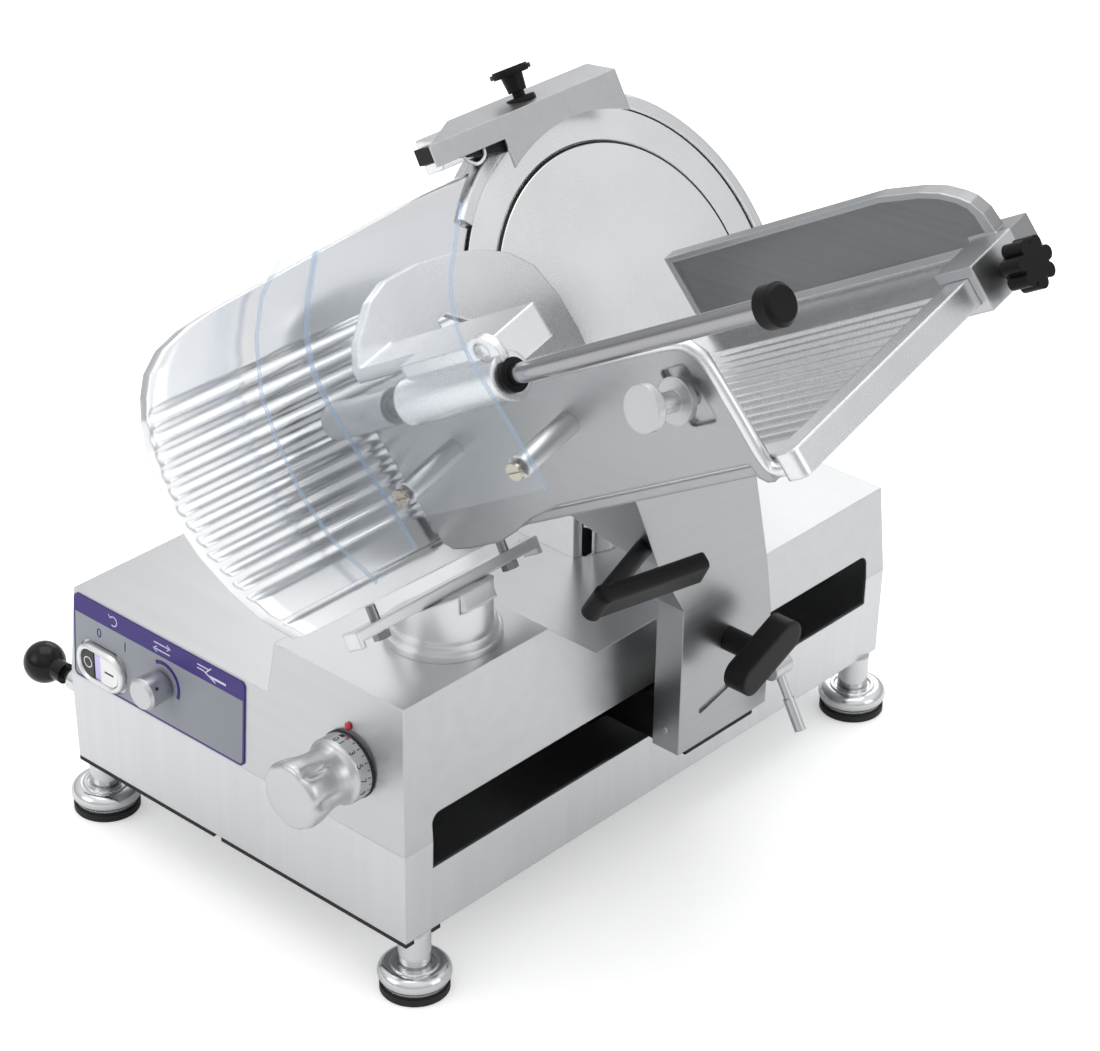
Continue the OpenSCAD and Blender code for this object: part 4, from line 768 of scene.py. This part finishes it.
# Domed pieces: the red index of the dial and the dot of the speed knob
def domePiece(name, centre, axis, radius, height, look, body, rings=5, around=32):
    axis = Vector(axis).normalized()
    side = axis.orthogonal().normalized()
    other = axis.cross(side)
    points = []
    faces = []
    for i in range(rings):
        share = math.radians(90 * i / rings)
        for j in range(around):
            turn = 2 * math.pi * j / around
            out = radius * math.cos(share)
            up = height * math.sin(share)
            spoke = side * math.cos(turn) + other * math.sin(turn)
            points.append(centre + spoke * out / 1000 + axis * up / 1000)
    top = len(points)
    points.append(centre + axis * height / 1000)
    for i in range(rings - 1):
        for j in range(around):
            k = (j + 1) % around
            faces.append([i * around + j, i * around + k, (i + 1) * around + k, (i + 1) * around + j])
    for j in range(around):
        faces.append([(rings - 1) * around + j, (rings - 1) * around + (j + 1) % around, top])
    faces.append(list(range(around))[::-1])
    return addPiece(name, points, faces, look, body, True)


redEnamel = plastic("index_red", (0.62, 0.01, 0.02), 0.25, 0.4, depth=0.00001)
domePiece("dial_index", at(-61.6, 2.6, 171.8), (0, -1, 0.06), 3.2, 1.6, redEnamel, "base")
domePiece("selector_dot", at(-257.4, -17, 127.8), (0.83, 0, 0.55), 1.5, 0.5, blackInk, "selector")
print("stage: panel and dial printed")

# Grip of the thickness dial: turned body whose flutes deepen towards the front
grip = {
    "profile": [
        (0.0, 27.44), (-14.2, 27.44), (-15.0, 26.9), (-15.8, 25.2), (-19, 24.0), (-25, 23.2), (-31, 23.4),
        (-37, 24.6), (-43, 26.4), (-48, 27.5), (-53, 28.0), (-56.5, 28.0), (-59, 27.5), (-60.8, 26.4),
        (-61.6, 25.2), (-62, 23.8), (-62, 8),
    ],
    "step": 1.6,
    "flutes": 6,
    "depth": 5.0,
    "rise": {"from": 26, "run": 22},
    "fall": {"from": 50, "run": 10, "share": 0.8},
    "plainRadius": 20,
    "firstTurn": 0.35,
    "around": 180,
}


def fluteDepth(y, turn, g):
    rise = min(max((-y - g["rise"]["from"]) / g["rise"]["run"], 0), 1)
    fall = 1 - min(max((-y - g["fall"]["from"]) / g["fall"]["run"], 0), 1) * g["fall"]["share"]
    wave = (0.5 + 0.5 * math.cos(g["flutes"] * turn)) ** 4
    return g["depth"] * rise * rise * (3 - 2 * rise) * fall * wave


def makeGrip(g, d):
    points = []
    faces = []
    fine = []
    for (y0, r0), (y1, r1) in zip(g["profile"], g["profile"][1:]):
        steps = max(1, int(abs(y1 - y0) / g["step"]))
        fine += [(y0 + (y1 - y0) * i / steps, r0 + (r1 - r0) * i / steps) for i in range(steps)]
    fine.append(g["profile"][-1])
    around = g["around"]
    for y, r in fine:
        for j in range(around):
            turn = 2 * math.pi * j / around + g["firstTurn"]
            out = r - (fluteDepth(y, turn, g) if r > g["plainRadius"] else 0)
            points.append(at(d["x"] + out * math.cos(turn), y, d["z"] + out * math.sin(turn)))
    for i in range(len(fine) - 1):
        for j in range(around):
            k = (j + 1) % around
            faces.append([i * around + j, i * around + k, (i + 1) * around + k, (i + 1) * around + j])
    faces.append(list(range(around)))
    faces.append([(len(fine) - 1) * around + j for j in range(around)][::-1])
    piece = addPiece("dial_grip", points, faces, looks["knob"], "dial", True)
    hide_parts("thickness_knob")


makeGrip(grip, dial)
# Painted shade: a black ring filling the gap round the dial's grip, standing in for the shade in that gap
dialGapShade = {"radius": 27.9, "width": 0.9, "y": 1.2, "thick": 0.7}


def gapPlace(x, z, out):
    return at(dial["x"] + x, dialGapShade["y"] - out, dial["z"] + z)


dialGapShadeRing = strokeOutline(arcLine((0, 0), dialGapShade["radius"], 0, 360, 60), dialGapShade["width"])
inkPiece("dial_gap_shade", [dialGapShadeRing], gapPlace, dialGapShade["thick"], blackInk, "base")

# Switch: rounded frame, black key with a ring, lamp and white key with a bar
switch = {
    "x": -341,
    "z": 105,
    "w": 55.8,
    "h": 35.8,
    "r": 17.0,
    "sections": [
        (0, 0.9), (0, -4.4), (0.5, -6.2), (1.6, -7.2), (2.8, -7.5), (4.0, -7.0), (4.8, -5.8), (5.0, -4.6),
        (5.0, 0.9),
    ],
}
keys = {
    "w": 45.4,
    "h": 25.4,
    "r": 11.9,
    "stop": {"edge": -348.4, "bend": -349.8, "front": -5.2, "back": -3.6},
    "start": {"edge": -339.6, "bend": -337, "front": -6.2, "back": -2.8},
    "lamp": {"left": -347.9, "right": -340.1, "front": -4.6, "back": -1.2},
    "ring": {"x": -355.6, "r": 4.6, "width": 1.0},
    "bar": {"left": -334, "right": -323.5, "width": 1.7},
    "printThick": 0.1,
}


def pillOutline(cx, cz, w, h, r, steps=12):
    outline = []
    for sx, sz, start in ((1, 1, 0), (-1, 1, 90), (-1, -1, 180), (1, -1, 270)):
        corner = (cx + sx * (w / 2 - r), cz + sz * (h / 2 - r))
        outline += arcLine(corner, r, start, start + 90, steps)
    return outline


def makeBezel(w):
    loops = []
    for inset, y in w["sections"]:
        r = max(w["r"] - inset, 1)
        ring = pillOutline(w["x"], w["z"], w["w"] - 2 * inset, w["h"] - 2 * inset, r)
        loops.append([at(x, y, z) for x, z in ring])
    count = len(loops[0])
    points = [p for ring in loops for p in ring]
    faces = []
    for i in range(len(loops)):
        n = (i + 1) % len(loops)
        for j in range(count):
            k = (j + 1) % count
            faces.append([i * count + j, i * count + k, n * count + k, n * count + j])
    piece = addPiece("switch_frame", points, faces, looks["bezel"], "base", True)
    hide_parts("switch_bezel")


def keyPiece(name, outline, key, look, body, node):
    front = key["front"]
    layers = [(0, key["back"]), (0, front + 0.7), (0.25, front + 0.2), (0.8, front)]
    cx = sum(p[0] for p in outline) / len(outline)
    cz = sum(p[1] for p in outline) / len(outline)
    points = []
    faces = []
    count = len(outline)
    for inset, y in layers:
        for x, z in outline:
            away = Vector((x - cx, z - cz))
            scale = 1 - inset / max(away.length, 1)
            points.append(at(cx + away.x * scale, y, cz + away.y * scale))
    for i in range(len(layers) - 1):
        for j in range(count):
            k = (j + 1) % count
            faces.append([i * count + j, i * count + k, (i + 1) * count + k, (i + 1) * count + j])
    faces.append(list(range(count)))
    faces.append([(len(layers) - 1) * count + j for j in range(count)][::-1])
    piece = addPiece(name, points, faces, look, body)
    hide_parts(node)


makeBezel(switch)
stop = keys["stop"]
start = keys["start"]
lamp = keys["lamp"]
whole = pillOutline(switch["x"], switch["z"], keys["w"], keys["h"], keys["r"], 14)
topZ = switch["z"] + keys["h"] / 2
lowZ = switch["z"] - keys["h"] / 2
stopKey = [(stop["edge"], topZ)] + [p for p in whole if p[0] <= stop["bend"]] + [(stop["edge"], lowZ)]
rightEnd = [p for p in whole if p[0] > start["bend"]]
startHigh = [p for p in rightEnd if p[1] >= switch["z"]]
startLow = [p for p in rightEnd if p[1] < switch["z"]]
startKey = [(start["edge"], lowZ)] + startLow + startHigh + [(start["edge"], topZ)]
lampKey = [(lamp["left"], topZ), (lamp["left"], lowZ), (lamp["right"], lowZ), (lamp["right"], topZ)]
keyPiece("stop_key", stopKey, stop, looks["buttonBlack"], "stop_button", "stop_button")
keyPiece("start_key", startKey, start, looks["buttonWhite"], "start_button", "start_button")
keyPiece("lamp_lens", lampKey, lamp, looks["lamp"], "base", "pilot_lamp")


def keyPlace(key):
    def place(x, z, out):
        return at(x, key["front"] - printLift - out, z)
    return place


ring = keys["ring"]
bar = keys["bar"]
ringLine = strokeOutline(arcLine((ring["x"], switch["z"]), ring["r"], 0, 360, 30), ring["width"])
inkPiece("stop_ring", [ringLine], keyPlace(stop), keys["printThick"], looks["bezel"], "stop_button")
barLine = strokeOutline([(bar["left"], switch["z"]), (bar["right"], switch["z"])], bar["width"])
inkPiece("start_bar", [barLine], keyPlace(start), keys["printThick"], blackInk, "start_button")
print("stage: dial grip and switch made")

# Gauge plate: smooth waves across the feed, rounded outer edge
plate = {
    "outline": [
        (-60, -119), (-200, -117), (-416.5, -113), (-438, -88), (-453.2, -60), (-466.4, -28), (-475, 6),
        (-476, 32), (-474, 56), (-469.2, 78), (-462, 94), (-452, 108), (-434.5, 120), (-409.8, 127.5),
        (-385.3, 131), (-331.2, 135), (-171.3, 147), (-106.3, 149), (-60, 149),
    ],
    "front": -2.0,
    "back": -14.0,
    "first": -68.0,
    "pitch": 13.4,
    "waves": 12,
    "depth": 2.3,
    "blade": 167.2,
    "ring": 181.2,
    "gapStart": 138.8,
    "gapEnd": 233.2,
    "bead": {"u": -97, "depth": 0.9, "width": 1.6},
    "edge": {"radius": 4, "run": 3, "drop": 1.6, "fade": 3},
    "deepest": 6,
    "least": 0.6,
    "margin": 0.02,
    "rows": 236,
    "columns": 22,
    "edgePlaces": [0.0, 0.4, 1.2, 2.4, 4.0],
}


def plateCorner(radius, p):
    return radius * math.sin(math.radians(p["gapStart"]))


def outlineLeft(u, outline):
    best = None
    for (y0, u0), (y1, u1) in zip(outline, outline[1:]):
        if (u0 - u) * (u1 - u) <= 0 and u0 != u1:
            y = y0 + (y1 - y0) * (u - u0) / (u1 - u0)
            best = y if best is None else min(best, y)
    return best


def waveDepth(u, p):
    last = p["first"] + p["pitch"] * (p["waves"] - 1)
    if u < p["first"] - p["pitch"] / 2 or u > last + p["pitch"] / 2:
        bead = p["bead"]
        return bead["depth"] * math.exp(-((u - bead["u"]) / bead["width"]) ** 2)
    return p["depth"] * (0.5 + 0.5 * math.cos(2 * math.pi * (u - p["first"]) / p["pitch"])) ** 1.3


def plateRight(u, p):
    right = p["outline"][0][0]
    for radius, inMiddle in ((p["ring"], False), (p["blade"], True)):
        if abs(u) < radius:
            y = -math.sqrt(radius * radius - u * u)
            angle = math.degrees(math.atan2(u, y)) % 360
            if (p["gapStart"] < angle < p["gapEnd"]) == inMiddle:
                right = min(right, y)
    if plateCorner(p["blade"], p) < u < plateCorner(p["ring"], p):
        right = min(right, u / math.tan(math.radians(p["gapStart"])))
    return right


# How far the face lies under the front at a point: rounded edges, rounded ends and the waves
def plateDrop(u, d, ends, p):
    edge = p["edge"]
    radius = edge["radius"]
    bend = max(0.0, radius - d)
    drop = radius - math.sqrt(max(radius * radius - bend * bend, 0.0))
    drop = max(drop, edge["drop"] * (1 - ends) ** 2)
    return min(drop + waveDepth(u, p) * min(1, (d + 1) / edge["fade"]), p["deepest"])


def makePlate(p):
    low = p["outline"][0][1]
    high = p["outline"][-1][1]
    rows = p["rows"]
    inner = p["columns"]
    columns = len(p["edgePlaces"]) + inner
    points = []
    faces = []
    for i in range(rows + 1):
        u = low + p["margin"] + (high - low - 2 * p["margin"]) * i / rows
        right = plateRight(u, p)
        left = min(outlineLeft(u, p["outline"]), right - p["least"])
        span = right - left
        ends = min(1.0, max(0.0, min(high - u, u - low) / p["edge"]["run"]))
        places = [min(d, span * 0.2) for d in p["edgePlaces"]]
        places += [places[-1] + (span - places[-1]) * (k + 1) / inner for k in range(inner)]
        for d in places:
            points.append(feedAt(p["front"] - plateDrop(u, d, ends, p), left + d, u))
        for d in places:
            points.append(feedAt(p["back"], left + d, u))
    wide = 2 * columns
    for i in range(rows):
        for k in range(columns - 1):
            a = i * wide + k
            faces.append([a, a + 1, a + wide + 1, a + wide])
            b = a + columns
            faces.append([b, b + wide, b + wide + 1, b + 1])
        for k in (0, columns - 1):
            a = i * wide + k
            faces.append([a, a + wide, a + wide + columns, a + columns])
    for i in (0, rows):
        for k in range(columns - 1):
            a = i * wide + k
            faces.append([a, a + 1, a + columns + 1, a + columns])
    piece = addPiece("gauge_plate_waves", points, faces, looks["gauge"], "gauge")
    angleSmooth(piece, 38)
    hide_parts("gauge_plate")


makePlate(plate)
print("stage: gauge plate made")


# Rounded bars swept along a line of points
def sweptBar(name, line, radius, look, body, around=14):
    points = []
    faces = []
    side = None
    for i, p in enumerate(line):
        along = (line[min(i + 1, len(line) - 1)] - line[max(i - 1, 0)]).normalized()
        if side is None:
            side = along.orthogonal().normalized()
        side = (side - along * side.dot(along)).normalized()
        other = along.cross(side)
        for j in range(around):
            turn = 2 * math.pi * j / around
            points.append(p + (side * math.cos(turn) + other * math.sin(turn)) * radius / 1000)
    for i in range(len(line) - 1):
        for j in range(around):
            k = (j + 1) % around
            faces.append([i * around + j, i * around + k, (i + 1) * around + k, (i + 1) * around + j])
    faces.append(list(range(around))[::-1])
    faces.append([(len(line) - 1) * around + j for j in range(around)])
    angleSmooth(addPiece(name, points, faces, look, body), 50)


def smoothLine(points, steps=6):
    line = []
    for i in range(len(points) - 1):
        p0 = points[max(i - 1, 0)]
        p1 = points[i]
        p2 = points[i + 1]
        p3 = points[min(i + 2, len(points) - 1)]
        for k in range(steps):
            t = k / steps
            square = 2 * p0 - 5 * p1 + 4 * p2 - p3
            cube = 3 * p1 - p0 - 3 * p2 + p3
            line.append(0.5 * (2 * p1 + (p2 - p0) * t + square * t * t + cube * t * t * t))
    line.append(points[-1])
    return line


# The rim's line in the table's own directions: along the feed, across it and up the table
wallRim = {
    "radius": 4.6,
    "line": [
        (60, -280, 71.5), (180, -280, 70.5), (300, -280, 68.6), (340, -280, 66.5), (352, -280, 60),
        (357, -280, 46), (358.5, -280, 10), (358.5, -280, -22), (361, -280, -36), (370, -281, -40),
        (382, -280, -39), (390, -274, -37), (391, -262, -36),
    ],
}
rimLine = smoothLine([tableAt(*p) for p in wallRim["line"]])
sweptBar("wall_rim", rimLine, wallRim["radius"], looks["cast"], "carriage")
print("stage: table rim made")


# Turned pieces: a closed profile of (radius, height) carried round an axis
def turnedPiece(name, place, profile, look, body, around=64):
    points = []
    faces = []
    count = len(profile)
    for j in range(around):
        turn = 2 * math.pi * j / around
        for r, h in profile:
            points.append(place(r * math.cos(turn), r * math.sin(turn), h))
    for j in range(around):
        k = (j + 1) % around
        for i in range(count):
            n = (i + 1) % count
            faces.append([j * count + i, k * count + i, k * count + n, j * count + n])
    angleSmooth(addPiece(name, points, faces, look, body), 35)


# Collar under the sharpener's knob, round a line up the blade's plane
pressCollar = {
    "n": -2,
    "y": -25.3,
    "profile": [(5.4, 184), (12.4, 184), (12.4, 186.6), (11.8, 188.2), (10.6, 188.7), (5.4, 188.7)],
}


def collarPlace(a, b, h):
    return feedAt(pressCollar["n"] + a, pressCollar["y"] + b, h)


turnedPiece("press_collar", collarPlace, pressCollar["profile"], looks["black"], "base")

# Painted shade: a dark ring in the gap round the blade's cover
coverShadeLine = [(135.7, 2.02), (136.6, 1.2), (137.1, 0.5), (137.1, 0.2), (135.4, 1.2), (135.2, 2.02)]
turnedPiece("cover_shade_line", lambda a, b, h: feedAt(h, a, b), coverShadeLine, looks["seal"], "blade", 160)

# Wire clip, and a black box as painted shade in the hollow under the sharpener's hood, each point out of
# the plane, across and up it
hoodClip = {
    "radius": 1.5,
    "line": [(12, -116, 170), (12, -114, 160), (14, -106, 154), (16, -98, 158), (15, -96, 168)],
}
clipLine = smoothLine([feedAt(*p) for p in hoodClip["line"]])
sweptBar("hood_clip", clipLine, hoodClip["radius"], looks["castSatin"], "base")
# Painted shade: a black box filling the hollow under the hood
hoodCavityShade = {
    "low": [(-12, -140, 168), (-12, -70, 153), (14, -70, 153), (14, -140, 168)],
    "high": [(-12, -140, 181), (-12, -70, 178), (14, -70, 178), (14, -140, 179)],
}
cavityShadePoints = [feedAt(*p) for p in hoodCavityShade["low"] + hoodCavityShade["high"]]
cavityShadeSides = [[k, (k + 1) % 4, (k + 1) % 4 + 4, k + 4] for k in range(4)]
addPiece("hood_cavity_shade", cavityShadePoints, [[0, 1, 2, 3], [4, 5, 6, 7]] + cavityShadeSides, looks["seal"], "base")

# Screw at the arm's foot and the sleeve of the left knob
footScrew = {
    "x": 35.5,
    "y": 261.2,
    "z": 89,
    "profile": [(0.4, 3.0), (2.6, 3.0), (3.2, 2.4), (3.2, 0.6), (0.4, 0.6)],
}
knobSleeve = {
    "y": 12,
    "z": 63,
    "profile": [(9.1, -396.3), (9.8, -396.3), (9.8, -384.5), (9.1, -384.5)],
}


def screwPlace(a, b, h):
    return at(footScrew["x"] + a, footScrew["y"] - h, footScrew["z"] + b)


def sleevePlace(a, b, h):
    return at(h, knobSleeve["y"] + a, knobSleeve["z"] + b)


turnedPiece("arm_foot_screw", screwPlace, footScrew["profile"], looks["machined"], "carriage", 24)
turnedPiece("left_knob_sleeve", sleevePlace, knobSleeve["profile"], looks["foot"], "left_knob", 40)
print("stage: small hardware made")
